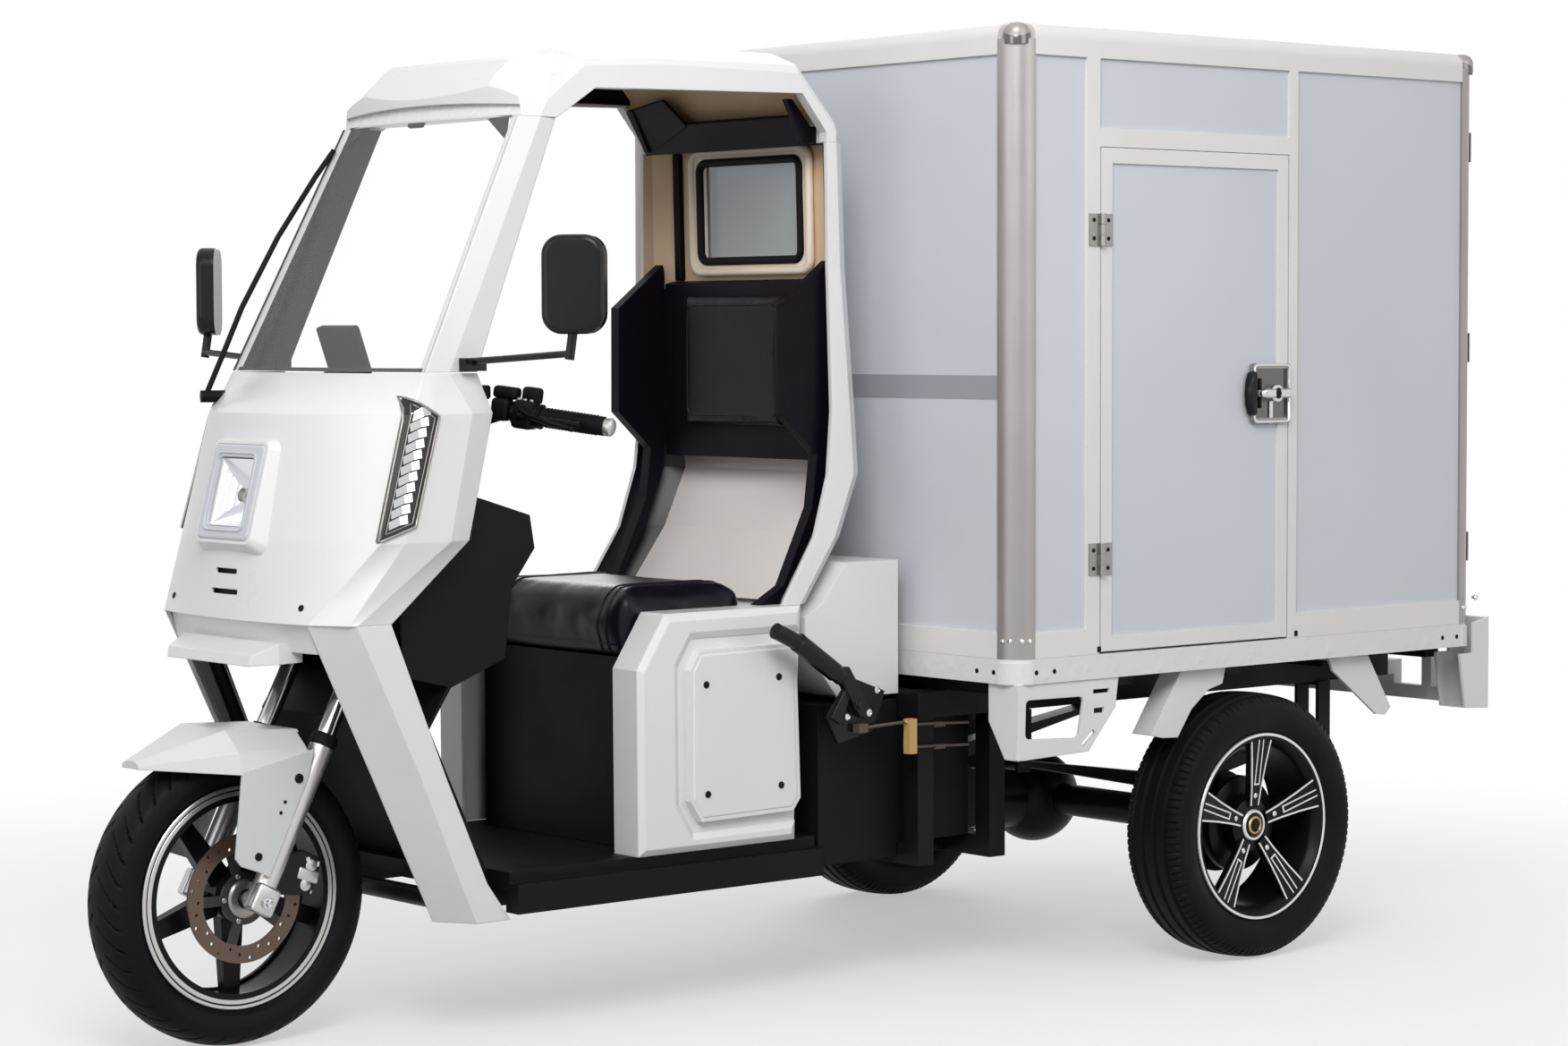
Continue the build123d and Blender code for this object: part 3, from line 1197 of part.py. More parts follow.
def main():
    os.makedirs("parts", exist_ok=True)
    write("front_tyre", Pos(*FRONT_AXLE) * tyre(FRONT_TYRE_R, FRONT_TYRE_W, FRONT_BEAD_R, FRONT_FLANGE_R, FRONT_RIM_HALF, 12))
    write("front_rim", front_rim())
    write("brake_disc", brake_disc())
    rear_tyre = tyre(REAR_TYRE_R, REAR_TYRE_W, REAR_BEAD_R, REAR_FLANGE_R, REAR_RIM_HALF, 5)
    for side, name in ((1, "left"), (-1, "right")):
        write(f"rear_tyre_{name}", Pos(0, side * REAR_HALF_TRACK, REAR_TYRE_R) * rear_tyre)
        write(f"rear_rim_{name}", rear_rim(side))
    write("fork_lowers", fork_lowers())
    write("fork_uppers", *fork_uppers())
    write("steering_stem", steering_stem())
    write("front_fender", front_fender())
    write("brake_caliper", brake_caliper())
    write("handlebar", handlebar())
    write("handlebar_grips", *handlebar_grips())
    write("chassis_frame", chassis_frame())
    write("rear_axle", rear_axle())
    write("leaf_springs", *leaf_springs())
    write("battery_box", battery_box())
    write("rear_bumper", rear_bumper())
    write("cargo_tray", cargo_tray())
    write("corner_posts", corner_posts())
    write("box_walls", *box_walls())
    write("box_roof", box_roof())
    write("box_trim", box_trim())
    write("side_door", side_door())
    write("side_door_fittings", *side_door_fittings())
    write("rear_door_left", rear_door_left())
    write("rear_door_right", mirror(rear_door_left(), about=Plane.XZ))
    write("rear_door_left_fittings", *rear_door_fittings())
    write("rear_door_right_fittings", *[mirror(p, about=Plane.XZ) for p in rear_door_fittings()])
    write("door_hinges_fixed", *door_hinges_fixed())
    write("side_steps", *both(side_steps()))
    write("mudguard_stays", *mudguard_stays())
    write("corner_brackets", *both(corner_brackets()))
    write("rear_lamps", *rear_lamps())
    write("cab_legs", *cab_legs())
    write("cab_pillars", *cab_pillars())
    write("cab_back_panel", cab_back_panel())
    write("cab_roof", cab_roof())
    write("roof_lining", roof_lining())
    write("back_window", back_window())
    write("back_window_frame", back_window_frame())
    write("back_trim", *back_trim())
    write("backrest_pad", backrest_pad())
    write("front_fascia", front_fascia())
    write("windscreen", windscreen())
    write("wiper", wiper())
    write("headlamp_housing", headlamp_housing())
    write("headlamp_bowl", headlamp_bowl())
    write("headlamp_lens", headlamp_lens())
    write("side_lamps", *side_lamps())
    write("leg_shield", leg_shield())
    write("floor_pan", floor_pan())
    write("seat_pods", *seat_pods())
    write("seat_base", seat_base())
    write("seat_cushion", seat_cushion())
    write("rear_fairing", rear_fairing())
    write("parking_brake", parking_brake())
    write("brake_equaliser", brake_equaliser())
    write("mirrors", *mirrors())


main()
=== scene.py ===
import math

import bmesh
import bpy
import numpy as np
from mathutils import Matrix, Vector
from mathutils.bvhtree import BVHTree


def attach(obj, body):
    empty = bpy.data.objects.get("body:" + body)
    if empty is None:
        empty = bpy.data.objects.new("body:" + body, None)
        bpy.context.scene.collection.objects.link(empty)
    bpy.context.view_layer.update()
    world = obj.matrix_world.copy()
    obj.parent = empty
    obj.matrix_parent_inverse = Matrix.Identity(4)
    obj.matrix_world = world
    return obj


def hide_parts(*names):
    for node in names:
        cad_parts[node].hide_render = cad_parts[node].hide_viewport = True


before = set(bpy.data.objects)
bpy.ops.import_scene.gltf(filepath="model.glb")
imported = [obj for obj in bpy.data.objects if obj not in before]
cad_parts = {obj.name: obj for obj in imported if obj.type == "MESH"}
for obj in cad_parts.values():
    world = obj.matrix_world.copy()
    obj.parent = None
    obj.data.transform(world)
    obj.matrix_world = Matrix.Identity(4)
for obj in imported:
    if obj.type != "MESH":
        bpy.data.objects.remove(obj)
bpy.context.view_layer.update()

# Camera solved from the photograph's lines, in metres and degrees
LENS = 83.27
SENSOR = 36.0
CAMERA_AT = (4.4827, 5.3704, 1.2213)
YAW, PITCH, ROLL = 229.885, -2.982, -0.157

# Sizes below are in millimetres from the rear axle, as in the part, and this is where that axle is
ORIGIN_X = 769.5

SIDES = ((1, "left"), (-1, "right"))


def at(x, y, z):
    """A point in metres in the scene from millimetres measured as the part is."""
    return Vector(((x - ORIGIN_X) / 1000, y / 1000, z / 1000))


WHEELBASE, REAR_HALF_TRACK, TYRE_R = 1984, 524, 259
FRONT_HUB = at(WHEELBASE, 0, TYRE_R)


# Materials


class Graph:
    """The nodes of a material or of the world, with a short way to add one and join its inputs."""

    def __init__(self, owner):
        owner.use_nodes = True
        self.nodes, self.links = owner.node_tree.nodes, owner.node_tree.links

    def feed(self, node, inputs):
        """Each input takes a plain value or another node's output."""
        for key, value in inputs.items():
            if isinstance(value, bpy.types.NodeSocket):
                self.links.new(value, node.inputs[key])
            else:
                node.inputs[key].default_value = value

    def add(self, kind, inputs, **settings):
        node = self.nodes.new("ShaderNode" + kind)
        for key, value in settings.items():
            setattr(node, key, value)
        self.feed(node, inputs)
        return node

    def math(self, kind, a, b):
        return self.add("Math", {0: a, 1: b}, operation=kind).outputs["Value"]

    def where(self, output="Object"):
        return self.add("TexCoord", {}).outputs[output]


def new_material(name, inputs):
    """A material, its graph and its shader, with plain values on the shader's own sockets."""
    mat = bpy.data.materials.new(name)
    graph = Graph(mat)
    shader = graph.nodes["Principled BSDF"]
    graph.feed(shader, inputs)
    return mat, graph, shader


def add_grain(graph, shader, amount, scale, stretch=(1, 1, 1), edge=0.0):
    """A fine relief from noise, drawn out along an axis where it is brushed or rolled, and rounded edges."""
    place = graph.add("Mapping", {"Vector": graph.where(), "Scale": stretch})
    noise = graph.add("TexNoise", {"Vector": place.outputs["Vector"], "Scale": scale, "Detail": 3})
    relief = {"Strength": amount, "Distance": 0.001, "Height": noise.outputs["Fac"]}
    if edge:
        relief["Normal"] = graph.add("Bevel", {"Radius": edge / 1000}, samples=6).outputs["Normal"]
    graph.feed(shader, {"Normal": graph.add("Bump", relief).outputs["Normal"]})


def add_mottle(graph, shader, rough, spread, scale):
    """A slow change in the roughness, as handling and polish leave it."""
    cloud = graph.add("TexNoise", {"Vector": graph.where(), "Scale": scale, "Detail": 4})
    reach = {"To Min": max(0.02, rough - spread), "To Max": rough + spread}
    span = graph.add("MapRange", {"Value": cloud.outputs["Fac"], "From Min": 0.3, "From Max": 0.7, **reach})
    graph.feed(shader, {"Roughness": span.outputs["Result"]})


def add_shades(graph, shader, color, change, scale):
    """A slight change of shade over the surface."""
    cloud = graph.add("TexNoise", {"Vector": graph.where(), "Scale": scale, "Detail": 5})
    ramp = graph.add("ValToRGB", {"Fac": cloud.outputs["Fac"]})
    for element, position, share in zip(ramp.color_ramp.elements, (0.35, 0.65), (1 - change, 1 + change)):
        element.position = position
        element.color = (*[min(1, c * share) for c in color], 1)
    graph.feed(shader, {"Base Color": ramp.outputs["Color"]})


def material(name, color, rough, metal=0.0, coat=0.0, spec=0.5, grain=0.0, grain_scale=400.0,
             stretch=(1, 1, 1), mottle=0.0, shades=0.0, shades_scale=4.0, edge=0.0):
    """A solid material, where the edge is the radius that its corners seem to have, in millimetres."""
    mat, graph, shader = new_material(name, {
        "Base Color": (*color, 1), "Roughness": rough, "Metallic": metal, "Specular IOR Level": spec,
        "Coat Weight": coat, "Coat Roughness": 0.08,
    })
    add_grain(graph, shader, grain, grain_scale, stretch, edge)
    add_mottle(graph, shader, rough, mottle, 6.0)
    if shades:
        add_shades(graph, shader, color, shades, shades_scale)
    return mat


def glass_material(name, color, rough, alpha):
    mat, graph, shader = new_material(name, {"Base Color": (*color, 1), "Alpha": alpha, "IOR": 1.45})
    add_mottle(graph, shader, rough, 0.02, 3.0)
    return mat


def lined_material(name, outside, rules, rough, grain, edge=0.0):
    """A moulding with another colour on some faces.

    Each rule is (colour, mask), where the mask is made from the object's own point and normal.
    """
    mat, graph, shader = new_material(name, {"Coat Roughness": 0.08, "Specular IOR Level": 0.3})
    add_grain(graph, shader, grain, 900, edge=edge)
    add_mottle(graph, shader, rough, 0.05, 6.0)
    point = graph.add("SeparateXYZ", {"Vector": graph.where()}).outputs
    normal = graph.add("SeparateXYZ", {"Vector": graph.where("Normal")}).outputs
    last = (*outside, 1)
    for color, mask in rules:
        colors = {"Factor": mask(graph, point, normal), "A": last, "B": (*color, 1)}
        last = graph.add("Mix", colors, data_type="RGBA").outputs["Result"]
    graph.feed(shader, {"Base Color": last})
    return mat


# In metres, the front pillars lie ahead of the first, and the rear window lies above the second
SCREEN_PILLARS_X = 0.45
SILL_OF_WINDOW_Z = 1.31


def inward(graph, point, normal):
    """Where a face looks to the middle of the vehicle."""
    return graph.math("LESS_THAN", graph.math("MULTIPLY", point["Y"], normal["Y"]), -0.08)


def rear_inward_high(graph, point, normal):
    high = graph.math("GREATER_THAN", point["Z"], SILL_OF_WINDOW_Z)
    behind = graph.math("LESS_THAN", point["X"], SCREEN_PILLARS_X)
    return graph.math("MULTIPLY", inward(graph, point, normal), graph.math("MULTIPLY", high, behind))


def forward(graph, point, normal):
    return graph.math("GREATER_THAN", normal["X"], 0.3)


def forward_high(graph, point, normal):
    high = graph.math("GREATER_THAN", point["Z"], SILL_OF_WINDOW_Z)
    return graph.math("MULTIPLY", forward(graph, point, normal), high)


def equaliser_block(graph, point, normal):
    """The block between the rod and the two cables of the brake's equaliser."""
    ahead = graph.math("GREATER_THAN", point["X"], at(722, 0, 0).x)
    return graph.math("MULTIPLY", ahead, graph.math("LESS_THAN", point["X"], at(752, 0, 0).x))


def tread_plate_material(name, color):
    """Painted sheet with the pressed lozenges of tread plate."""
    mat, graph, shader = new_material(name, {"Base Color": (*color, 1)})
    add_mottle(graph, shader, 0.4, 0.08, 8.0)
    heights = []
    for degrees in (52, -52):
        turn = [math.radians(degrees)] * 3
        place = graph.add("Mapping", {"Vector": graph.where(), "Rotation": turn, "Scale": (34, 34, 34)})
        lattice = {"Vector": place.outputs["Vector"], "Scale": 1.0, "Randomness": 0.15}
        heights.append(graph.add("TexVoronoi", lattice, feature="DISTANCE_TO_EDGE").outputs["Distance"])
    bump = graph.add("Bump", {"Strength": 1.0, "Distance": 0.006, "Height": graph.math("MULTIPLY", *heights)})
    graph.feed(shader, {"Normal": bump.outputs["Normal"]})
    return mat


def disc_material(name, centre, limit, ring, carrier):
    """Ground steel on the ring that the pads sweep, and paint on the carrier inside the limit."""
    mat, graph, shader = new_material(name, {"Roughness": 0.38})
    add_grain(graph, shader, 0.1, 500)
    shift = graph.add("VectorMath", {0: graph.where(), 1: centre}, operation="SUBTRACT")
    flat = graph.add("VectorMath", {0: shift.outputs["Vector"], 1: (1, 0, 1)}, operation="MULTIPLY")
    length = graph.add("VectorMath", {0: flat.outputs["Vector"]}, operation="LENGTH")
    mask = graph.math("GREATER_THAN", length.outputs["Value"], limit)
    mix = graph.add("Mix", {"Factor": mask, "A": (*carrier, 1), "B": (*ring, 1)}, data_type="RGBA")
    graph.feed(shader, {"Base Color": mix.outputs["Result"], "Metallic": graph.math("MULTIPLY", mask, 0.8)})
    return mat


# Colours, linear
WHITE = (0.745, 0.735, 0.73)
# The fender is the body's white plastic, painted darker for the shade that the cab's nose casts on it
SHADED_FENDER_WHITE = (0.64, 0.645, 0.645)
PANEL = (0.6, 0.62, 0.66)
SECTION = (0.74, 0.73, 0.715)
POST = (0.34, 0.32, 0.315)
STRIPE = (0.33, 0.345, 0.37)
BLACK = (0.006, 0.006, 0.007)
TRIM = (0.005, 0.004, 0.007)
VINYL = (0.006, 0.0045, 0.009)
RUBBER = (0.005, 0.005, 0.006)
RIM_BLACK = (0.004, 0.004, 0.0045)
LAMP_BLACK = (0.012, 0.012, 0.014)
LAMP_GREY = (0.56, 0.57, 0.61)
LAMP_RED = (0.4, 0.012, 0.012)
BEIGE = (0.76, 0.57, 0.38)
PALE_BEIGE = (0.86, 0.74, 0.6)
CREAM = (0.84, 0.79, 0.76)
SILVER = (0.55, 0.54, 0.53)
BRIGHT = (0.72, 0.72, 0.73)
CHROME = (0.62, 0.62, 0.64)
DARK_CHROME = (0.16, 0.15, 0.15)
MIRROR = (0.78, 0.79, 0.81)
STEEL = (0.3, 0.285, 0.27)
BRASS = (0.55, 0.36, 0.13)
ROD = (0.09, 0.07, 0.055)
DISC_RING = (0.13, 0.09, 0.07)
DISC_CARRIER = (0.006, 0.006, 0.006)
DISC_RING_R = 0.081  # in metres, where the painted carrier ends

white_gloss = material("white_gloss", WHITE, 0.32, coat=0.15, grain=0.04, grain_scale=900, mottle=0.05,
                       shades=0.012, edge=3)
# The front fender in the body's white plastic with painted shade: darker than white_gloss for the cab nose's
# shadow
fender_white_painted_shade = material("fender_white_painted_shade", SHADED_FENDER_WHITE, 0.32, coat=0.1, grain=0.04, grain_scale=900, mottle=0.05,
                        edge=3)
pillar_rules = [(TRIM, inward), (BEIGE, rear_inward_high)]
pillar_paint = lined_material("pillar_paint", WHITE, pillar_rules, 0.34, 0.03, 3.0)
back_rules = [(TRIM, inward), (CREAM, forward), (BEIGE, forward_high)]
back_paint = lined_material("back_paint", WHITE, back_rules, 0.45, 0.06)
panel_sheet = material("panel_sheet", PANEL, 0.46, grain=0.1, grain_scale=700, mottle=0.08, shades=0.025,
                       shades_scale=1.6)
white_section = material("white_section", SECTION, 0.38, grain=0.06, grain_scale=500, mottle=0.06,
                         shades=0.02, edge=2)
white_steel = material("white_steel", SECTION, 0.44, grain=0.12, grain_scale=220, mottle=0.08, shades=0.035,
                       edge=2.5)
tread_plate = tread_plate_material("tread_plate", SECTION)
black_plastic = material("black_plastic", BLACK, 0.5, spec=0.1, grain=0.3, grain_scale=900, mottle=0.08,
                         shades=0.15, edge=2.5)
trim_plastic = material("trim_plastic", TRIM, 0.45, spec=0.08, grain=0.3, grain_scale=900, mottle=0.08,
                        shades=0.15, edge=3)
gloss_black = material("gloss_black", BLACK, 0.2, spec=0.22, grain=0.05, mottle=0.05, edge=5)
black_steel = material("black_steel", BLACK, 0.4, spec=0.12, grain=0.15, grain_scale=300, mottle=0.1,
                       shades=0.2, edge=1.5)
vinyl = material("vinyl", VINYL, 0.3, spec=0.16, grain=0.3, grain_scale=700, mottle=0.05, shades=0.15)
rubber = material("rubber", RUBBER, 0.55, spec=0.1, grain=0.25, grain_scale=700, mottle=0.1, shades=0.25,
                  shades_scale=9)
silver = material("silver", SILVER, 0.32, metal=0.85, grain=0.12, grain_scale=240, mottle=0.08)
machined = material("machined", BRIGHT, 0.26, metal=0.8, grain=0.08, grain_scale=600, mottle=0.06)
alloy_dark = material("alloy_dark", RIM_BLACK, 0.34, metal=0.1, spec=0.15, grain=0.06, mottle=0.06)
chrome = material("chrome", CHROME, 0.12, metal=1.0, grain=0.02, mottle=0.05)
dark_chrome = material("dark_chrome", DARK_CHROME, 0.14, metal=1.0, grain=0.03, mottle=0.05)
reflector = material("reflector", MIRROR, 0.2, metal=1.0, grain=0.04, mottle=0.05)
steel = material("steel", STEEL, 0.34, metal=0.9, grain=0.1, mottle=0.1, edge=1)
brass = material("brass", BRASS, 0.34, metal=0.9, grain=0.1, mottle=0.1)
equaliser_metal = lined_material("equaliser_metal", ROD, [(BRASS, equaliser_block)], 0.36, 0.1)
post_metal = material("post_metal", POST, 0.38, metal=0.6, grain=0.16, grain_scale=90, stretch=(9, 9, 0.4),
                      mottle=0.06, shades=0.05)
lamp_rim = material("lamp_rim", LAMP_GREY, 0.3, coat=0.3, grain=0.05, mottle=0.05, edge=2.5)
lamp_black = material("lamp_black", LAMP_BLACK, 0.2, coat=0.3, spec=0.3, grain=0.05, mottle=0.04)
red_lens = material("red_lens", LAMP_RED, 0.16, coat=0.6, grain=0.2, grain_scale=300, mottle=0.05)
stripe_film = material("stripe_film", STRIPE, 0.34, grain=0.2, grain_scale=900, mottle=0.05)
lining = material("lining", BEIGE, 0.62, grain=0.3, grain_scale=300, mottle=0.06, shades=0.06,
                  shades_scale=8)
moulded_beige = material("moulded_beige", PALE_BEIGE, 0.5, grain=0.15, grain_scale=600, mottle=0.06,
                         shades=0.03)
screen_glass = glass_material("screen_glass", (0.93, 0.96, 0.97), 0.04, 0.06)
window_glass = glass_material("window_glass", (0.5, 0.55, 0.56), 0.04, 0.45)
lamp_glass = glass_material("lamp_glass", (0.9, 0.92, 0.95), 0.03, 0.08)
disc_steel = disc_material("disc_steel", FRONT_HUB, DISC_RING_R, DISC_RING, DISC_CARRIER)

DRESS = (
    # material, the name of a slot, CAD nodes
    (white_gloss, "white_body", ("cab_legs", "cab_roof", "front_fascia", "seat_pods", "rear_fairing")),
    (fender_white_painted_shade, None, ("front_fender",)),
    (pillar_paint, None, ("cab_pillars",)),
    (back_paint, None, ("cab_back_panel",)),
    (panel_sheet, "door_grey", ("box_walls",)),
    (white_section, "white_section", (
        "box_roof", "box_trim", "side_door", "rear_door_left", "rear_door_right",
    )),
    (post_metal, None, ("corner_posts",)),
    (white_steel, "white_steel", ("side_steps", "mudguard_stays", "corner_brackets", "rear_bumper")),
    (tread_plate, None, ("cargo_tray",)),
    (black_steel, "black_metal", (
        "chassis_frame", "rear_axle", "leaf_springs", "steering_stem", "handlebar",
    )),
    (gloss_black, "black_plastic", ("mirrors", "parking_brake", "brake_caliper")),
    (black_plastic, "black_plastic", (
        "battery_box", "leg_shield", "floor_pan", "wiper", "handlebar_grips",
    )),
    (trim_plastic, "black_plastic", ("seat_base", "back_trim")),
    (moulded_beige, "lining", ("back_window_frame",)),
    (lining, None, ("roof_lining",)),
    (vinyl, "seat_vinyl", ("seat_cushion", "backrest_pad")),
    (screen_glass, None, ("windscreen",)),
    (window_glass, None, ("back_window",)),
    (lamp_rim, "lamp_rim", ("headlamp_housing",)),
    (chrome, "chrome", ("headlamp_bowl", "fork_uppers")),
    (dark_chrome, "chrome", ()),
    (reflector, "lamp_chrome", ()),
    (lamp_glass, "lamp_lens", ("headlamp_lens",)),
    (lamp_black, "black_plastic", ("side_lamps",)),
    (red_lens, None, ("rear_lamps",)),
    (silver, "silver", ("fork_lowers",)),
    (machined, "silver", ()),
    (stripe_film, "silver", ()),
    (alloy_dark, "black_metal", ("front_rim", "rear_rim_left", "rear_rim_right")),
    (disc_steel, None, ("brake_disc",)),
    (steel, "steel", (
        "door_hinges_fixed", "side_door_fittings", "rear_door_left_fittings", "rear_door_right_fittings",
    )),
    (brass, "brass", ()),
    (equaliser_metal, None, ("brake_equaliser",)),
    (rubber, "tyre", ("front_tyre", "rear_tyre_left", "rear_tyre_right")),
)

for mat, _, names in DRESS:
    for name in names:
        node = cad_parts[name]
        node.data.materials.clear()
        node.data.materials.append(mat)


# Shapes


HERE = Matrix.Identity(4)
TREES = {}

# Heads of fastenings, each (radius, height) from the middle out
SCREW = [(0, 1.2), (2.6, 1.2), (2.8, 3.0), (4.6, 2.8), (6.2, 1.6), (6.6, 0.0), (6.6, -1.0)]
RIVET = [(0, 3.2), (2.2, 2.9), (4.2, 1.8), (5.0, 0.0), (5.0, -1.0)]


def piece(name, verts, faces, mat, body="vehicle", smooth=30):
    """A new mesh that rides on a body, smooth up to an angle in degrees."""
    mesh = bpy.data.meshes.new(name)
    mesh.from_pydata([tuple(v) for v in verts], [], faces)
    mesh.update()
    mesh.materials.append(mat)
    mesh.shade_smooth()
    mesh.set_sharp_from_angle(angle=math.radians(smooth))
    obj = bpy.data.objects.new(name, mesh)
    bpy.context.scene.collection.objects.link(obj)
    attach(obj, body)
    return obj


def joined(name, parts, mat, body="vehicle", smooth=30):
    """One piece from several (shape, place) pairs."""
    verts, faces = [], []
    for (points, loops), place in parts:
        base = len(verts)
        verts += [place @ p for p in points]
        faces += [tuple(base + i for i in loop) for loop in loops]
    return piece(name, verts, faces, mat, body, smooth)


def stand(point, normal, up=(0, 0, 1)):
    """The place of a shape whose z runs along a normal and whose y is as near up as it can be."""
    z = Vector(normal).normalized()
    x = Vector(up).cross(z)
    if x.length < 1e-4:
        x = Vector((1, 0, 0)).cross(z)
    x.normalize()
    turn = Matrix((x, z.cross(x), z)).transposed()
    return Matrix.Translation(point) @ turn.to_4x4()


def shifted(place, x, y, z):
    """A place moved along its own axes, in millimetres."""
    return place @ Matrix.Translation((x / 1000, y / 1000, z / 1000))


def tree_of(mesh):
    return BVHTree.FromPolygons([v.co for v in mesh.vertices], [p.vertices for p in mesh.polygons])


def seat_on(name, start, direction):
    """The point and normal where a ray meets a CAD piece."""
    if name not in TREES:
        TREES[name] = tree_of(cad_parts[name].data)
    where, normal, _, _ = TREES[name].ray_cast(Vector(start), Vector(direction))
    return where, normal


def seated(shape, name, start, direction):
    """A list with a shape and its place where a ray meets a CAD piece, or an empty list where it misses."""
    where, normal = seat_on(name, start, direction)
    return [] if where is None else [(shape, stand(where, normal))]


def ring_faces(first, second, count):
    """The faces between two closed rings, given the numbers of their first points."""
    pairs = [(k, (k + 1) % count) for k in range(count)]
    return [(first + k, first + n, second + n, second + k) for k, n in pairs]


def sheet_faces(rows, wide):
    """The faces of a sheet of points, given row by row."""
    starts = [r * wide + k for r in range(rows - 1) for k in range(wide - 1)]
    return [(a, a + 1, a + wide + 1, a + wide) for a in starts]


def lathe(outline, around=24, share=1.0):
    """The shape of a (radius, height) outline turned about z, in millimetres, at a share of its size."""
    count = len(outline)
    verts = []
    for i in range(around):
        turn = 2 * math.pi * i / around
        for r, h in outline:
            out = max(r * share, 0.01)
            verts.append(Vector((out * math.cos(turn), out * math.sin(turn), h * share)) / 1000)
    faces = []
    for i in range(around):
        j = (i + 1) % around
        pairs = [(i * count + k, j * count + k) for k in range(count - 1)]
        faces += [(a, b, b + 1, a + 1) for a, b in pairs]
    return verts, faces


def prism(outline, low, high, edge=0.0):
    """An (x, y) outline raised from low to high, with its top edge drawn in by a chamfer, in millimetres."""
    count = len(outline)
    middle = Vector((sum(p[0] for p in outline) / count, sum(p[1] for p in outline) / count))
    rings = [(low, 0.0), (high - edge, 0.0), (high, edge)] if edge else [(low, 0.0), (high, 0.0)]
    verts = []
    for height, draw in rings:
        for p in outline:
            here = Vector(p)
            away = middle - here
            here = here + away.normalized() * min(draw, away.length)
            verts.append(Vector((here.x, here.y, height)) / 1000)
    top = (len(rings) - 1) * count
    faces = [tuple(reversed(range(count))), tuple(range(top, top + count))]
    for start in range(0, top, count):
        faces += ring_faces(start, start + count, count)
    return verts, faces


def block(size, edge):
    """A box with rounded edges, its middle at the origin, in millimetres."""
    shape = bmesh.new()
    bmesh.ops.create_cube(shape, size=1)
    bmesh.ops.scale(shape, vec=Vector(size) / 1000, verts=shape.verts)
    bmesh.ops.bevel(shape, geom=shape.edges, offset=edge / 1000, segments=3, profile=0.5, affect="EDGES")
    verts = [v.co.copy() for v in shape.verts]
    faces = [tuple(v.index for v in f.verts) for f in shape.faces]
    shape.free()
    return verts, faces


def rounded(wide, high, radius, steps=5):
    """The (x, y) outline of a rectangle with rounded corners, in millimetres."""
    points = []
    for corner, (sx, sy) in enumerate(((1, 1), (-1, 1), (-1, -1), (1, -1))):
        x, y = sx * (wide / 2 - radius), sy * (high / 2 - radius)
        for k in range(steps + 1):
            turn = math.radians(90 * corner + 90 * k / steps)
            points.append((x + radius * math.cos(turn), y + radius * math.sin(turn)))
    return points


def tube(points, radius, around=10, closed=False):
    """A round tube along points, in metres, with its radius in millimetres, and its place."""
    points = [Vector(p) for p in points]
    count = len(points)
    verts = []
    side = Vector((0.123, 0.456, 0.789))
    for i, p in enumerate(points):
        before = points[i - 1] if i or closed else points[i]
        after = points[(i + 1) % count] if i < count - 1 or closed else points[i]
        along = (after - before).normalized()
        side = (side - along * side.dot(along)).normalized()
        up = along.cross(side)
        for k in range(around):
            turn = 2 * math.pi * k / around
            verts.append(p + (side * math.cos(turn) + up * math.sin(turn)) * radius / 1000)
    faces = []
    for i in range(count if closed else count - 1):
        faces += ring_faces(i * around, (i + 1) % count * around, around)
    if not closed:
        faces.append(tuple(reversed(range(around))))
        faces.append(tuple(range((count - 1) * around, count * around)))
    return (verts, faces), HERE


def inset(points, by):
    """A closed outline drawn in by a distance."""
    result = []
    count = len(points)
    area = sum(points[i - 1][0] * points[i][1] - points[i][0] * points[i - 1][1] for i in range(count))
    sign = 1 if area > 0 else -1
    for i in range(count):
        a, b, c = (Vector(points[k % count]) for k in (i - 1, i, i + 1))
        d, e = (b - a).normalized(), (c - b).normalized()
        n = sign * Vector((-d.y, d.x))
        m = sign * Vector((-e.y, e.x))
        lift = (n + m).normalized()
        result.append(tuple(b + lift * (by / max(0.3, lift.dot(n)))))
    return result


# Wheels


FRONT_CUTS, REAR_CUTS = 40, 110
AROUND, ACROSS = 720, 84

# Half sections of the tyres from bead to crown, each (radius, distance from the middle)
FRONT_TYRE = [
    (178.4, 34.8), (185, 37.2), (193.7, 39.8), (206, 49.5), (220, 54.2), (233, 52.6), (245, 46.5), (253, 34),
    (257.6, 18), (TYRE_R, 0),
]
REAR_TYRE = [
    (165.4, 50.8), (175, 53.5), (183.2, 56.0), (200, 67.5), (217, 72.4), (235, 71.0), (250, 63), (255.6, 52),
    (258, 30), (TYRE_R, 0),
]


def smooth_line(points, count):
    """Points spread evenly along a Catmull-Rom curve."""
    p = np.array(points, float)
    p = np.vstack([2 * p[0] - p[1], p, 2 * p[-1] - p[-2]])
    line = []
    for i in range(1, len(p) - 2):
        t = np.linspace(0, 1, 24, endpoint=False)[:, None]
        a, b, c, d = p[i - 1], p[i], p[i + 1], p[i + 2]
        second, third = 2 * a - 5 * b + 4 * c - d, 3 * b - a - 3 * c + d
        line.append(0.5 * (2 * b + (c - a) * t + second * t**2 + third * t**3))
    line = np.vstack([*line, p[-2][None]])
    run = np.concatenate([[0], np.cumsum(np.linalg.norm(np.diff(line, axis=0), axis=1))])
    want = np.linspace(0, run[-1], count)
    return np.stack([np.interp(want, run, line[:, k]) for k in range(2)], axis=1)


def ease(value, low, high):
    t = np.clip((value - low) / (high - low), 0, 1)
    return t * t * (3 - 2 * t)


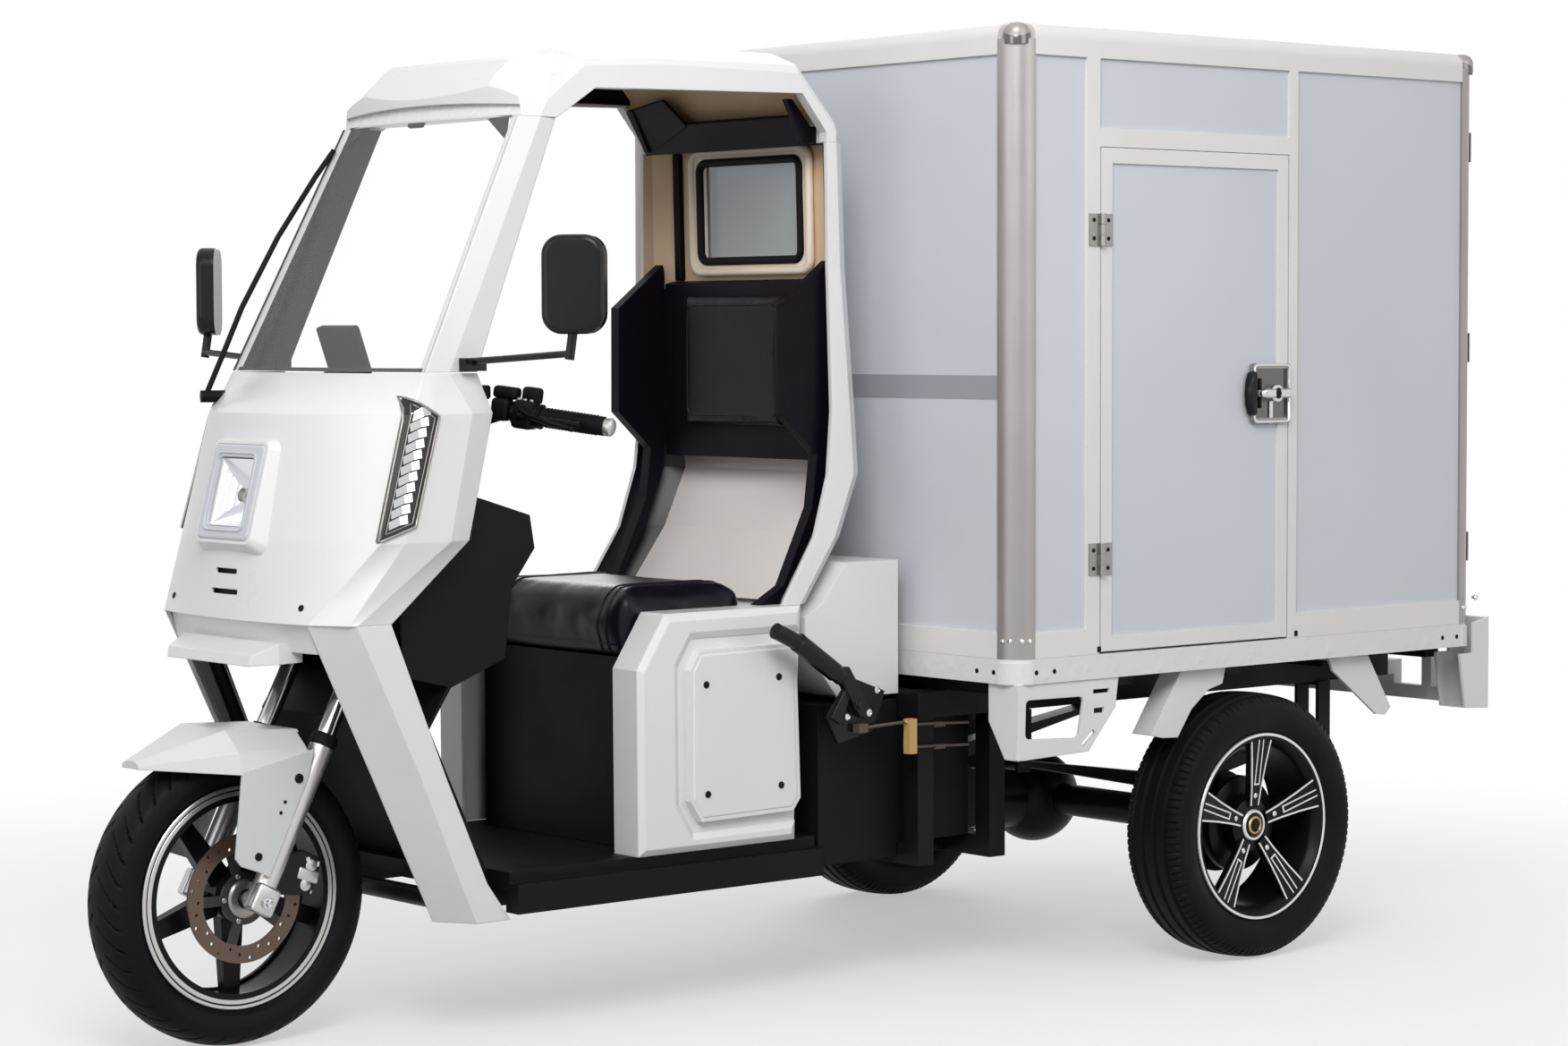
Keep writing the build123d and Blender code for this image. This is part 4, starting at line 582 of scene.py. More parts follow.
def slashes(turn, across, radius):
    """The front tread: long slanted cuts from near the middle to each shoulder, by turns long and short."""
    half = 47.0
    share = np.abs(across) / half
    lane = turn * FRONT_CUTS / (2 * math.pi) + 1.35 * share + 0.5 * (across > 0)
    pitch = 2 * math.pi * TYRE_R / FRONT_CUTS
    off = np.abs(lane - np.round(lane)) * pitch
    short = np.where(np.round(lane) % 2 > 0, 0.3, 0.1)
    gate = ease(share, short, short + 0.08) * (1 - ease(share, 0.98, 1.1)) * (radius > 232)
    cut = 4.2 * (1 - ease(off, 1.6, 3.0)) * gate
    ring = 0.7 * (np.abs(radius - 222) < 1.2) + 0.7 * (np.abs(radius - 203) < 1.2)
    return cut - ring


def ribs(turn, across, radius):
    """The rear tread: four grooves round the tyre and fine cuts at the shoulders, with raised rings below."""
    cut = np.zeros_like(across)
    for place in (-42, -15, 15, 42):
        cut = np.maximum(cut, 5.5 * (1 - ease(np.abs(across - place), 2.2, 4.0)))
    lane = turn * REAR_CUTS / (2 * math.pi)
    off = np.abs(lane - np.round(lane)) * 2 * math.pi * TYRE_R / REAR_CUTS
    gate = ease(np.abs(across), 45, 48) * (1 - ease(np.abs(across), 66, 69)) * (radius > 240)
    cut = np.maximum(cut, 3.0 * (1 - ease(off, 1.2, 2.4)) * gate)
    ring = sum(high * (np.abs(radius - r) < 1.5) for r, high in ((232, 0.9), (238, 0.9), (196, 0.8)))
    return np.maximum(cut, 0) - ring


def make_tyre(name, centre, half_outline, tread, body):
    """A tyre as a fine grid, its tread cut by moving points inwards."""
    line = smooth_line(half_outline + [(r, -y) for r, y in reversed(half_outline[:-1])], ACROSS)
    step = np.gradient(line, axis=0)
    out = np.stack([-step[:, 1], step[:, 0]], axis=1)
    out /= np.linalg.norm(out, axis=1)[:, None]
    turn = np.linspace(0, 2 * math.pi, AROUND, endpoint=False)
    grid_turn, grid_y = np.meshgrid(turn, line[:, 1], indexing="ij")
    grid_r = np.broadcast_to(line[:, 0], grid_turn.shape)
    cut = tread(grid_turn, grid_y, grid_r)
    inner = [(line[-1][0] + 3, line[-1][1]), (line[-1][0] + 8, 0.0), (line[0][0] + 3, line[0][1])]
    r = np.concatenate([grid_r - cut * out[:, 0]] + [np.full((AROUND, 1), p[0]) for p in inner], axis=1)
    y = np.concatenate([grid_y - cut * out[:, 1]] + [np.full((AROUND, 1), p[1]) for p in inner], axis=1)
    cos, sin = np.cos(turn)[:, None], np.sin(turn)[:, None]
    points = np.stack([r * cos, y, r * sin], axis=2) / 1000 + np.array(centre)
    wide = r.shape[1]
    i = np.arange(AROUND)[:, None]
    j = (i + 1) % AROUND
    k = np.arange(wide)[None, :]
    n = (k + 1) % wide
    faces = np.stack([i * wide + k, i * wide + n, j * wide + n, j * wide + k], axis=2).reshape(-1, 4)
    return piece(name, points.reshape(-1, 3), faces.tolist(), rubber, body, 50)


def add_tyres():
    front = make_tyre("front_tyre_tread", FRONT_HUB, FRONT_TYRE, slashes, "front_wheel")
    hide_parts("front_tyre")
    for side, name in SIDES:
        centre = at(0, side * REAR_HALF_TRACK, TYRE_R)
        tyre = make_tyre(f"rear_{name}_tyre_tread", centre, REAR_TYRE, ribs, f"rear_wheel_{name}")
        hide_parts(f"rear_tyre_{name}")


# Rear rims: the spoke as (radius, half width) with its rise outwards, then outlines of (radius, height)
SPOKE_EDGE = ((38, 12), (70, 14.5), (120, 21), (176, 31))
SPOKE_RISE = 0.135
SLOT_EDGE = ((82, 7.5), (174, 7.5))
SLOT_FOOT = ((79, -7.5), (82.5, -7.5), (82.5, 7.5), (79, 7.5))
RIM_BARREL = [
    (153, -60), (182, -60), (182, -56), (165, -52), (165, 52), (182, 56), (182, 60), (179, 61), (172, 60.5),
    (168, 56), (162, 48), (158, 40), (157, -46), (153, -60),
]
RIM_LIP = [(175.5, 58.5), (177, 61.4), (179, 61.8), (181.8, 61.5), (183, 59.5), (182.4, 56)]
HUB = [(0, 38), (20, 38), (28, 37), (34, 34), (46, 33), (52, 30), (52, -20), (0, -20)]
HUB_RING = [(24, 37), (25, 40), (29, 40), (31, 37.5), (31, 36)]
HUB_CAP = [(0, 42.5), (9, 42.2), (17, 41), (22, 39.2), (24, 37.5), (24, 36)]
HUB_BEAD = [(13, 41.2), (14, 43), (16.5, 42.6), (18, 40.4)]
DRUM = [(52, 4), (60, 7), (84, 7), (92, 4), (94, -4), (94, -16), (50, -16)]


def strip(edge, width):
    """A machined line inside an edge of (radius, distance from the spoke's middle)."""
    return prism(list(edge) + [(r, t - width) for r, t in reversed(edge)], 37, 40, 0.4)


def add_rear_rims():
    """Rear alloy wheels: five broad spokes with machined edges and a slotted middle."""
    outline = list(SPOKE_EDGE) + [(r, -t) for r, t in reversed(SPOKE_EDGE)]
    rise = Matrix(((1, 0, 0, 0), (0, 1, 0, 0), (SPOKE_RISE, 0, 1, -SPOKE_RISE * 0.038), (0, 0, 0, 1)))
    for side, name in SIDES:
        body = f"rear_wheel_{name}"
        wheel = stand(at(0, side * REAR_HALF_TRACK, TYRE_R), (0, side, 0))
        dark = [(lathe(RIM_BARREL, 96), wheel), (lathe(HUB, 48), wheel), (lathe(DRUM, 64), wheel)]
        bright = [(lathe(RIM_LIP, 128), wheel), (lathe(HUB_RING, 48), wheel)]
        bolts = []
        for index in range(5):
            turn = wheel @ Matrix.Rotation(math.radians(90 + 72 * index), 4, "Z") @ rise
            dark.append((prism(outline, 24, 39, 1.0), turn))
            bright.append((strip(SPOKE_EDGE, 3.6), turn))
            bright.append((strip([(r, -t + 3.6) for r, t in SPOKE_EDGE], 3.6), turn))
            bright.append((strip(SLOT_EDGE, 2.8), turn))
            bright.append((strip([(r, -t + 2.8) for r, t in SLOT_EDGE], 2.8), turn))
            bright.append((prism(SLOT_FOOT, 37, 40, 0.4), turn))
            bolts.append((lathe(SCREW, 16, 0.85), shifted(turn, 58, 0, 38.5)))
        rim = joined(f"rear_{name}_rim_body", dark, alloy_dark, body)
        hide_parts(f"rear_rim_{name}")
        joined(f"rear_{name}_rim_faces", bright, machined, body)
        joined(f"rear_{name}_rim_bolts", bolts, chrome, body)
        joined(f"rear_{name}_hub_cap", [(lathe(HUB_CAP, 40), wheel)], alloy_dark, body)
        joined(f"rear_{name}_hub_bead", [(lathe(HUB_BEAD, 40), wheel)], brass, body)


def add_front_wheel_details():
    """The rim's two lips on each side, and the disc's flange and bolts."""
    outer = [(186, 43.6), (187, 45.2), (191.5, 45.4), (193.2, 44), (193, 41)]
    inner = [(175.5, 43.4), (176.5, 44.8), (183, 45), (184.4, 43.6)]
    rings = []
    for side, _ in SIDES:
        rings += [(lathe(line, 128), stand(FRONT_HUB, (0, side, 0))) for line in (outer, inner)]
    joined("front_rim_lips", rings, silver, "front_wheel")
    place = stand(FRONT_HUB, (0, 1, 0))
    flange = [(16, 54.5), (17, 60), (30, 60), (34, 57), (34, 54.2)]
    bolts = []
    for index in range(5):
        turn = place @ Matrix.Rotation(math.radians(72 * index + 36), 4, "Z")
        bolts.append((lathe(SCREW, 16, 0.8), shifted(turn, 40, 0, 54)))
    joined("disc_bolts", bolts, steel, "front_wheel")
    joined("hub_flange", [(lathe(flange, 40), place)], steel, "front_wheel")


# Steering


# The steering axis, the direction ahead of it, and the legs' distance from the middle
RAKE = math.radians(27)
UP = Vector((-math.sin(RAKE), 0, math.cos(RAKE)))
AHEAD = Vector((math.cos(RAKE), 0, math.sin(RAKE)))
FORK_HALF = 98


def leg_point(along, side, ahead=0.0):
    """A point on a fork leg's line, given along the steering axis in millimetres."""
    return at(WHEELBASE, side * FORK_HALF, TYRE_R) + (UP * along + AHEAD * ahead) / 1000


def add_fork_details():
    """The seals and feet of the fork's legs, and the axle's nuts and pinch bolts."""
    seal = [(17, 302), (17, 309), (21.5, 308), (23.5, 301), (23.5, 288), (21.2, 286)]
    hexagon = [(11 * math.cos(a), 11 * math.sin(a)) for a in np.radians(range(0, 360, 60))]
    seals, clamps, nuts = [], [], []
    for side, _ in SIDES:
        aside = Vector((0, side, 0))
        seals.append((lathe(seal, 32), stand(leg_point(0, side), UP, (1, 0, 0))))
        clamps.append((block((46, 50, 22), 6), stand(leg_point(4, side) + aside * 0.016, aside, UP)))
        out = stand(leg_point(0, side) + aside * 0.0275, aside, UP)
        nuts.append((prism(hexagon, 0, 8, 1.2), out))
        nuts.append((lathe([(5, 7.5), (5, 12), (6, 11.5), (7.5, 7)], 20), out))
        for along in (14, -12):
            nuts.append((lathe(SCREW, 16, 0.7), stand(leg_point(along, side, -22) + aside * 0.016, -AHEAD)))
    joined("fork_seals", seals, black_plastic, "steering")
    joined("fork_clamps", clamps, silver, "steering")
    joined("axle_nuts", nuts, chrome, "steering")


def add_caliper_details():
    """The caliper's two cylinders, its bridge bolts and the hose end."""
    turn = Matrix.Rotation(math.radians(-20), 4, "Y")
    base = Matrix.Translation(at(1870, 72, 290)) @ turn @ stand((0, 0, 0), (0, 1, 0))
    cylinder = [(0, 7.5), (9, 7), (12.5, 5), (14.5, 1), (14.5, -2)]
    domes, bolts = [], []
    for rise in (-17, 17):
        domes.append((lathe(cylinder, 32), shifted(base, 0, rise, 0)))
        bolts.append((lathe(SCREW, 20), shifted(base, 14, rise / 0.7, 0)))
    domes.append((block((44, 22, 12), 4), shifted(base, 0, 0, 2)))
    bolts.append((lathe([(0, 10), (4, 10), (5, 8), (5, 0)], 18), shifted(base, -12, 26, 0)))
    joined("caliper_cylinders", domes, silver, "steering")
    joined("caliper_bolts", bolts, chrome, "steering")


def add_fender_screws():
    places = (
        # x, z, share of a screw's size
        (1916, 466, 1.3), (1998, 339, 1.1), (1944, 428, 0.5), (1953, 410, 0.5),
    )
    parts = []
    for side, _ in SIDES:
        for x, z, share in places:
            parts += seated(lathe(SCREW, 20, share), "front_fender", at(x, side * 300, z), (0, -side, 0))
    joined("fender_screws", parts, black_steel, "steering")


# The grip's inner and outer end on the left
GRIP_IN = (1474, 226, 1077)
GRIP_OUT = (1412, 328, 1061)


def add_bar_details():
    """Bar ends, the ribs of the grips, the switch blocks with their buttons, and the brake levers' tips."""
    end = [(11, -1), (15, 0), (16.4, 3), (16.4, 12), (13, 16), (6, 18), (0, 18.4)]
    reservoir = [(0, 13), (9, 12.5), (12, 10), (12.5, -8), (9, -12)]
    lever_line = (
        # along the grip, ahead of it, lift, in metres
        (-0.03, 0.012, 0), (-0.012, 0.034, 0), (0.012, 0.046, -0.012), (0.05, 0.048, -0.02),
        (0.092, 0.044, -0.024),
    )
    ahead = Vector((0.92, 0, 0.38))
    ends, grip_ribs, blocks, buttons, levers = [], [], [], [], []
    for side, _ in SIDES:
        inner, outer = (at(x, side * y, z) for x, y, z in (GRIP_IN, GRIP_OUT))
        along = (outer - inner).normalized()
        ends.append((lathe(end, 32), stand(outer, along)))
        for k in range(16):
            ring = stand(inner + along * (0.012 + 0.0062 * k), along)
            grip_ribs.append((lathe([(16.6, -1.4), (18, -0.8), (18, 0.8), (16.6, 1.4)], 28), ring))
        grip_ribs.append((lathe([(17, -3), (22, -2.5), (22, 1.5), (17, 2)], 32), stand(inner, along)))
        hold = stand(inner - along * 0.03, along)
        perch = stand(inner - along * 0.072 + Vector((0.004, 0, 0.004)), along)
        blocks.append((block((44, 50, 40), 8), hold))
        blocks.append((block((26, 30, 34), 7), shifted(hold, 12 * side, 34, 4)))
        blocks.append((block((34, 40, 34), 8), perch))
        blocks.append((block((30, 22, 46), 7), shifted(perch, 6 * side, 30, 4)))
        pot = Matrix.Translation(inner - along * 0.1 + Vector((0.012, 0, 0.03)))
        blocks.append((lathe(reservoir, 24), pot))
        out = hold.to_3x3() @ Vector((0, 1, 0))
        for lift in (-0.012, 0.0, 0.012):
            where = hold @ Vector((-0.01 * side, 0.0255, lift))
            buttons.append((lathe([(0, 3.4), (3.4, 3), (4, 1.6), (4, -1)], 16), stand(where, out)))
        lever = [inner + along * a + ahead * b + Vector((0, 0, c)) for a, b, c in lever_line]
        levers.append(tube(lever, 5.2, 12))
        levers.append((lathe([(0, -6), (6, -4), (7, 0), (6, 4), (0, 6)], 16), Matrix.Translation(lever[-1])))
    joined("bar_ends", ends, silver, "steering")
    joined("grip_ribs", grip_ribs, rubber, "steering")
    joined("switch_blocks", blocks, black_plastic, "steering")
    joined("switch_buttons", buttons, steel, "steering")
    joined("brake_levers", levers, black_steel, "steering")


# Lamps


# The headlamp's face and the window in it
LAMP_AT = at(1971, 0, 954)
LAMP_NORMAL = Vector((164, 0, 42)).normalized()
WINDOW_W, WINDOW_H = 108.0, 118.0

# The side lamps: their corners as (x, z), and their ladder of scales from the top one down
LAMP_CORNERS = ((1812, 1119), (1761, 1085), (1811, 900), (1880, 875))
LADDER_Z = (1096, 889)
LAMP_ROWS = 11


def add_headlamp_detail():
    """A fluted reflector with facets above and below, and the bulb with its shade."""
    place = stand(LAMP_AT, LAMP_NORMAL)
    nx, nz = 90, 40
    verts = []
    for j in range(nz + 1):
        v = (j / nz - 0.5) * WINDOW_H
        for i in range(nx + 1):
            u = (i / nx - 0.5) * WINDOW_W
            across, rise = abs(u) / (WINDOW_W / 2), abs(v) / (WINDOW_H / 2)
            flutes = -37 + 30 * across ** 2.2 + 0.9 * math.cos(across * 9 * math.pi)
            deep = -6 if i in (0, nx) or j in (0, nz) else max(flutes, -44 + 38 * rise)
            verts.append(Vector((u, v, min(deep, -6))) / 1000)
    bowl = joined("headlamp_reflector", [((verts, sheet_faces(nz + 1, nx + 1)), place)], reflector, smooth=18)
    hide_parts("headlamp_bowl")
    bulb = lathe([(8, -36), (8, -30), (6, -28), (6.5, -22), (5.5, -17), (2.5, -14.5), (0, -14)], 24)
    shade = lathe([(11, -38), (12.5, -33), (12.5, -24), (11.5, -24), (11.5, -33), (8, -36)], 32)
    joined("headlamp_bulb", [(bulb, place)], lamp_glass)
    joined("headlamp_bulb_shade", [(shade, place)], steel)
    line = [place @ (Vector((x, y, 0.4)) / 1000) for x, y in rounded(126, 136, 14)]
    joined("headlamp_bead", [tube(line, 2.2, 10, True)], lamp_rim)


def cheek_point(side, x, z, proud):
    """A point a little proud of the side lamp's face."""
    where, normal = seat_on("side_lamps", at(x, side * 400, z), (0, -side, 0))
    if where is None:
        where, normal = seat_on("front_fascia", at(x, side * 400, z), (0, -side, 0))
    return where + normal * proud / 1000


def cheek_loop(side, loop, proud):
    """A closed line on the side lamp's face, with 12 points to each side of the loop."""
    line = []
    for i, (x, z) in enumerate(loop):
        next_x, next_z = loop[(i + 1) % len(loop)]
        for share in (k / 12 for k in range(12)):
            line.append(cheek_point(side, x + (next_x - x) * share, z + (next_z - z) * share, proud))
    return line


def add_side_lamp_details():
    """A bright bezel round each lamp and its ladder of bright scales."""
    (top_x, top_z), (high_x, high_z), (low_x, low_z), (foot_x, foot_z) = LAMP_CORNERS
    scale = (
        # share of width, share of height, height above the lamp's face
        (0.0, 1.0, 0.3), (0.45, 0.8, 2.6), (1.0, 0.3, 0.6), (1.0, -0.45, 0.3), (0.45, 0.0, 4.6),
        (0.0, 0.15, 1.8),
    )
    scale_high = 17.5
    first_z, last_z = LADDER_Z
    for side, name in SIDES:
        loops = ((inset(LAMP_CORNERS, 0.8), 2.4, 0.6), (inset(LAMP_CORNERS, 8.5), 1.1, 0.4))
        bezel = [tube(cheek_loop(side, loop, proud), radius, 8, True) for loop, radius, proud in loops]
        joined(f"side_lamp_bezel_{name}", bezel, steel, smooth=60)
        scales = []
        for row in range(LAMP_ROWS):
            z = first_z + (last_z - first_z) * (row + 0.6) / (LAMP_ROWS + 0.4)
            front = top_x + (foot_x - top_x) * (top_z - z) / (top_z - foot_z) - 11
            back = high_x + (low_x - high_x) * (high_z - z) / (high_z - low_z) + 17
            corners = [(back + (front - back) * s, z + scale_high * lift, up) for s, lift, up in scale]
            verts = [cheek_point(side, *corner) for corner in corners]
            verts += [cheek_point(side, x, z_here, -0.5) for x, z_here, _ in corners]
            faces = [(0, 1, 4, 5), (1, 2, 3, 4)]
            faces += [(k, k + 6, (k + 1) % 6 + 6, (k + 1) % 6) for k in range(6)]
            if side > 0:
                faces = [tuple(reversed(f)) for f in faces]
            scales.append(((verts, faces), HERE))
        joined(f"side_lamp_scales_{name}", scales, chrome, smooth=12)


# Cab


# The side boxes: (x, z) outlines of the raised rim and the cover, and the y of their faces
POD_RIM = (
    (946, 723.7), (1264, 721), (1327, 626), (1325, 293), (962, 293), (960.7, 328), (1200, 326), (1233, 379),
    (1235, 627), (1204, 676), (948, 677),
)
POD_COVER = (
    (1216, 620), (1194, 655), (984, 657), (966, 630), (957, 371), (975, 348), (1190, 345), (1216, 385),
)
POD_FACE, POD_COVER_FACE = 303, 318
POD_SCREWS = ((1180, 593), (1010, 597), (1177, 395), (1005, 398))


def raised(outline, low, high, edge, side):
    """A plate on the side of the cab: an (x, z) outline from one y to another, with chamfered edges."""
    rows = [(outline, low), (outline, high - edge * 0.6), (inset(outline, edge), high)]
    count = len(outline)
    verts = [at(x, side * y, z) for points, y in rows for x, z in points]
    faces = ring_faces(0, count, count) + ring_faces(count, 2 * count, count)
    faces.append(tuple(range(2 * count, 3 * count)))
    if side < 0:
        faces = [tuple(reversed(face)) for face in faces]
    return (verts, faces), HERE


def add_pods():
    """The raised rims round the covers of the side boxes, the covers' bevelled plates, and their screws."""
    for side, name in SIDES:
        rim = raised(POD_RIM, POD_FACE - 0.5, POD_FACE + 9, 12, side)
        cover = raised(inset(POD_COVER, 1), POD_FACE, POD_COVER_FACE + 1.5, 9, side)
        joined(f"pod_rim_{name}", [rim, cover], white_gloss, smooth=15)
        face = POD_COVER_FACE + 1.6
        screws = [(lathe(SCREW), stand(at(x, side * face, z), (0, side, 0))) for x, z in POD_SCREWS]
        screws += seated(lathe(SCREW), "rear_fairing", at(920, side * 600, 552), (0, -side, 0))
        joined(f"pod_screws_{name}", screws, black_steel)


def add_fascia_details():
    """Two screws in the fascia's lip, and the dark backing of its slots."""
    parts = []
    for side, _ in SIDES:
        parts += seated(lathe(SCREW, 24, 0.9), "front_fascia", at(2400, side * 206, 764), (-1, 0, 0))
    joined("fascia_screws", parts, black_steel)
    back = stand(at(1972, 0, 800), (1, 0, 0.1))
    joined("slot_backing", [(prism(rounded(104, 62, 6), -3, 0), back)], trim_plastic)


# The windscreen's foot and top: x, half width and z, then how far it bows out and its thickness
GLASS_LOW = (1777, 304, 1158)
GLASS_TOP = (1546, 270, 1618)
GLASS_BOW = 24
GLASS_T = 5


def glass_point(y_share, z, behind):
    """A point on the windscreen at a share of its half width, some way behind its outer face."""
    share = (z - GLASS_LOW[2]) / (GLASS_TOP[2] - GLASS_LOW[2])
    x, half = (low + share * (top - low) for low, top in zip(GLASS_LOW[:2], GLASS_TOP[:2]))
    return at(x + GLASS_BOW * (1 - y_share * y_share) - behind, y_share * half, z)


def glass_band(name, rows, behind, thick, mat, reach=0.93):
    """A band that follows the pane's inside: each row is (height at the middle, height at the sides)."""
    steps = 28
    wide = steps + 1
    verts = []
    for depth in (behind, behind + thick):
        for mid, end in rows:
            shares = [(k / steps * 2 - 1) * reach for k in range(wide)]
            verts += [glass_point(s, mid + (end - mid) * s * s, depth) for s in shares]
    half = len(verts) // 2
    front = sheet_faces(len(rows), wide)
    faces = front + [tuple(i + half for i in reversed(face)) for face in front]
    for k in range(steps):
        low, high = k, half - wide + k
        faces.append((low + 1, low, low + half, low + 1 + half))
        faces.append((high, high + 1, high + 1 + half, high + half))
    return piece(name, verts, faces, mat, smooth=40)


def add_screen_details():
    """The black header and its tabs, the seal at the foot, and the small dark display."""
    behind = GLASS_T + 6
    glass_band("screen_header", ((1607, 1596), (1624, 1612)), GLASS_T + 1, 6, trim_plastic)
    glass_band("screen_foot_seal", ((1158.5, 1158.5), (1165, 1165)), GLASS_T + 0.5, 5, rubber, 0.96)
    tab = stand(glass_point(-0.06, 1600, GLASS_T + 8), (0.9, 0, 0.45))
    joined("screen_sensor", [(block((44, 22, 10), 4), tab)], trim_plastic)
    gussets = []
    for s in (-0.86, 0.86):
        corners = ((s, 1600), (s * 0.8, 1597), (s * 1.06, 1560))
        front = [glass_point(share, z, behind) for share, z in corners]
        verts = front + [p + Vector((-0.006, 0, 0)) for p in front]
        gussets.append(((verts, [(0, 1, 2), (5, 4, 3), (0, 3, 4, 1), (1, 4, 5, 2), (2, 5, 3, 0)]), HERE))
    joined("screen_gussets", gussets, trim_plastic)
    display = stand(at(1705, -46, 1194), (-0.94, -0.04, 0.34))
    foot = stand(at(1712, -46, 1152), (0, 0, 1), (1, 0, 0))
    joined("display_case", [(prism(rounded(112, 92, 6), -7, 7, 2.0), display)], black_plastic)
    joined("display_glass", [(prism(rounded(98, 76, 3), 6.6, 7.6, 0.4), display)], lamp_black)
    joined("display_foot", [(prism(rounded(60, 44, 8), -22, 6, 3.0), foot)], black_plastic)


# The cab's back: the pillar's outer x at two heights, the rear wall's thickness and the panel's depth in it
PILLAR_B = ((828, 1342), (834, 1575))
WALL_T, PANEL_IN = 44, 12

# The black band over the rear window as (x, z), and the plate in its far corner
HEADER_BAND = ((866, 1570), (871, 1570), (897, 1622), (892, 1627))
CORNER_PLATE = ((912, -250, 1656), (924, -121, 1672), (893, -85, 1622), (866, -244, 1572))


def back_face(z):
    """The inner face of the rear wall, x at a height, in millimetres."""
    (x0, z0), (x1, z1) = PILLAR_B
    return x0 + (x1 - x0) * (z - z0) / (z1 - z0) - WALL_T + PANEL_IN


def add_back_details():
    """The rear window's rubber and bead, and the black uprights, rails and plates in the cab's corners."""
    low, high = 1356, 1558
    normal = Vector((1, 0, -(back_face(high) - back_face(low)) / (high - low)))
    place = stand(at(back_face((low + high) / 2) + 12.5, 0, (low + high) / 2), normal)
    line = [place @ (Vector((x, y, 0)) / 1000) for x, y in rounded(300, 190, 18)]
    joined("back_window_rubber", [tube(line, 8.0, 12, True)], rubber, smooth=60)
    line = [place @ (Vector((x, y, -1)) / 1000) for x, y in rounded(350, 232, 24)]
    joined("back_window_bead", [tube(line, 8.0, 12, True)], moulded_beige, smooth=60)
    strips = []
    for side, _ in SIDES:
        foot, head = (at(back_face(z) + 6, side * 226, z) for z in (1326, 1574))
        strips.append((block((20, (head - foot).length * 1000, 14), 4), stand((foot + head) / 2, normal)))
        where, _ = seat_on("roof_lining", at(1150, 0, 1684), (0, side, 0))
        if where is not None:
            rail = at(1148, 0, 1681)
            rail.y = where.y - side * 0.003
            strips.append((block((484, 30, 4), 1.5), stand(rail, (0, -side, 0))))
    faces = [(0, 1, 2, 3), (7, 6, 5, 4)] + [(k, k + 4, (k + 1) % 4 + 4, (k + 1) % 4) for k in range(4)]
    band = [at(x, y, z) for y in (-238, 238) for x, z in HEADER_BAND]
    corner = [at(*p) for p in CORNER_PLATE]
    plate = corner + [p + Vector((0.004, 0, -0.004)) for p in corner]
    strips += [((band, faces), HERE), ((plate, faces), HERE)]
    joined("back_uprights", strips, trim_plastic)


# Seat


# Boxes of the two cushions before they swell: their limits in x, y and z
SEAT_BOX = ((1007, 1293), (-225, 225), (642, 756))
BACK_BOX = ((833, 853), (-157, 157), (1040, 1301))
SEAT_SEAM_Y = 172
CLOTH_FRAMES = 20


def coordinates(mesh):
    points = np.empty(len(mesh.vertices) * 3)
    mesh.vertices.foreach_get("co", points)
    return points.reshape(-1, 3)


def inflate(pad, rounds, voxel, cap, lowest):
    """Blows a closed shape up as cloth, each point by no more than the cap, and smooths it in rounds."""
    bpy.context.view_layer.objects.active = pad
    remesh = pad.modifiers.new("remesh", "REMESH")
    remesh.mode = "VOXEL"
    remesh.voxel_size = voxel / 1000
    bpy.ops.object.modifier_apply(modifier="remesh")
    mesh = pad.data
    moved = rest = coordinates(mesh)
    cloth = pad.modifiers.new("cloth", "CLOTH")
    cloth.settings.quality = 4
    cloth.settings.use_pressure = True
    cloth.settings.uniform_pressure_force = 4
    cloth.settings.effector_weights.gravity = 0
    cloth.point_cache.frame_end = CLOTH_FRAMES
    for number in range(1, CLOTH_FRAMES + 1):
        bpy.context.scene.frame_set(number)
    moved = coordinates(pad.evaluated_get(bpy.context.evaluated_depsgraph_get()).data)
    pad.modifiers.remove(cloth)
    bpy.context.scene.frame_set(1)
    step = moved - rest
    length = np.linalg.norm(step, axis=1)[:, None]
    moved = rest + step * np.minimum(1, (cap / 1000) / np.maximum(length, 1e-9))
    moved[:, 2] = np.maximum(moved[:, 2], lowest / 1000)
    mesh.vertices.foreach_set("co", moved.reshape(-1))
    mesh.update()
    smooth = pad.modifiers.new("smooth", "SMOOTH")
    smooth.factor = 0.5
    smooth.iterations = rounds
    bpy.ops.object.modifier_apply(modifier="smooth")
    subdivide = pad.modifiers.new("subdivide", "SUBSURF")
    subdivide.levels = subdivide.render_levels = 1
    bpy.ops.object.modifier_apply(modifier="subdivide")
    mesh.shade_smooth()


def new_pad(mesh, rounds, voxel, cap, lowest):
    """A swollen cushion that rides on the vehicle."""
    mesh.materials.append(vinyl)
    pad = bpy.data.objects.new(mesh.name, mesh)
    bpy.context.scene.collection.objects.link(pad)
    inflate(pad, rounds, voxel, cap, lowest)
    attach(pad, "vehicle")
    return pad


def surface_line(tree, starts, direction, sink):
    """Points where rays from the starts meet a piece, sunk a little into it."""
    hits = [tree.ray_cast(start, direction) for start in starts]
    return [where - normal * sink / 1000 for where, normal, _, _ in hits if where is not None]


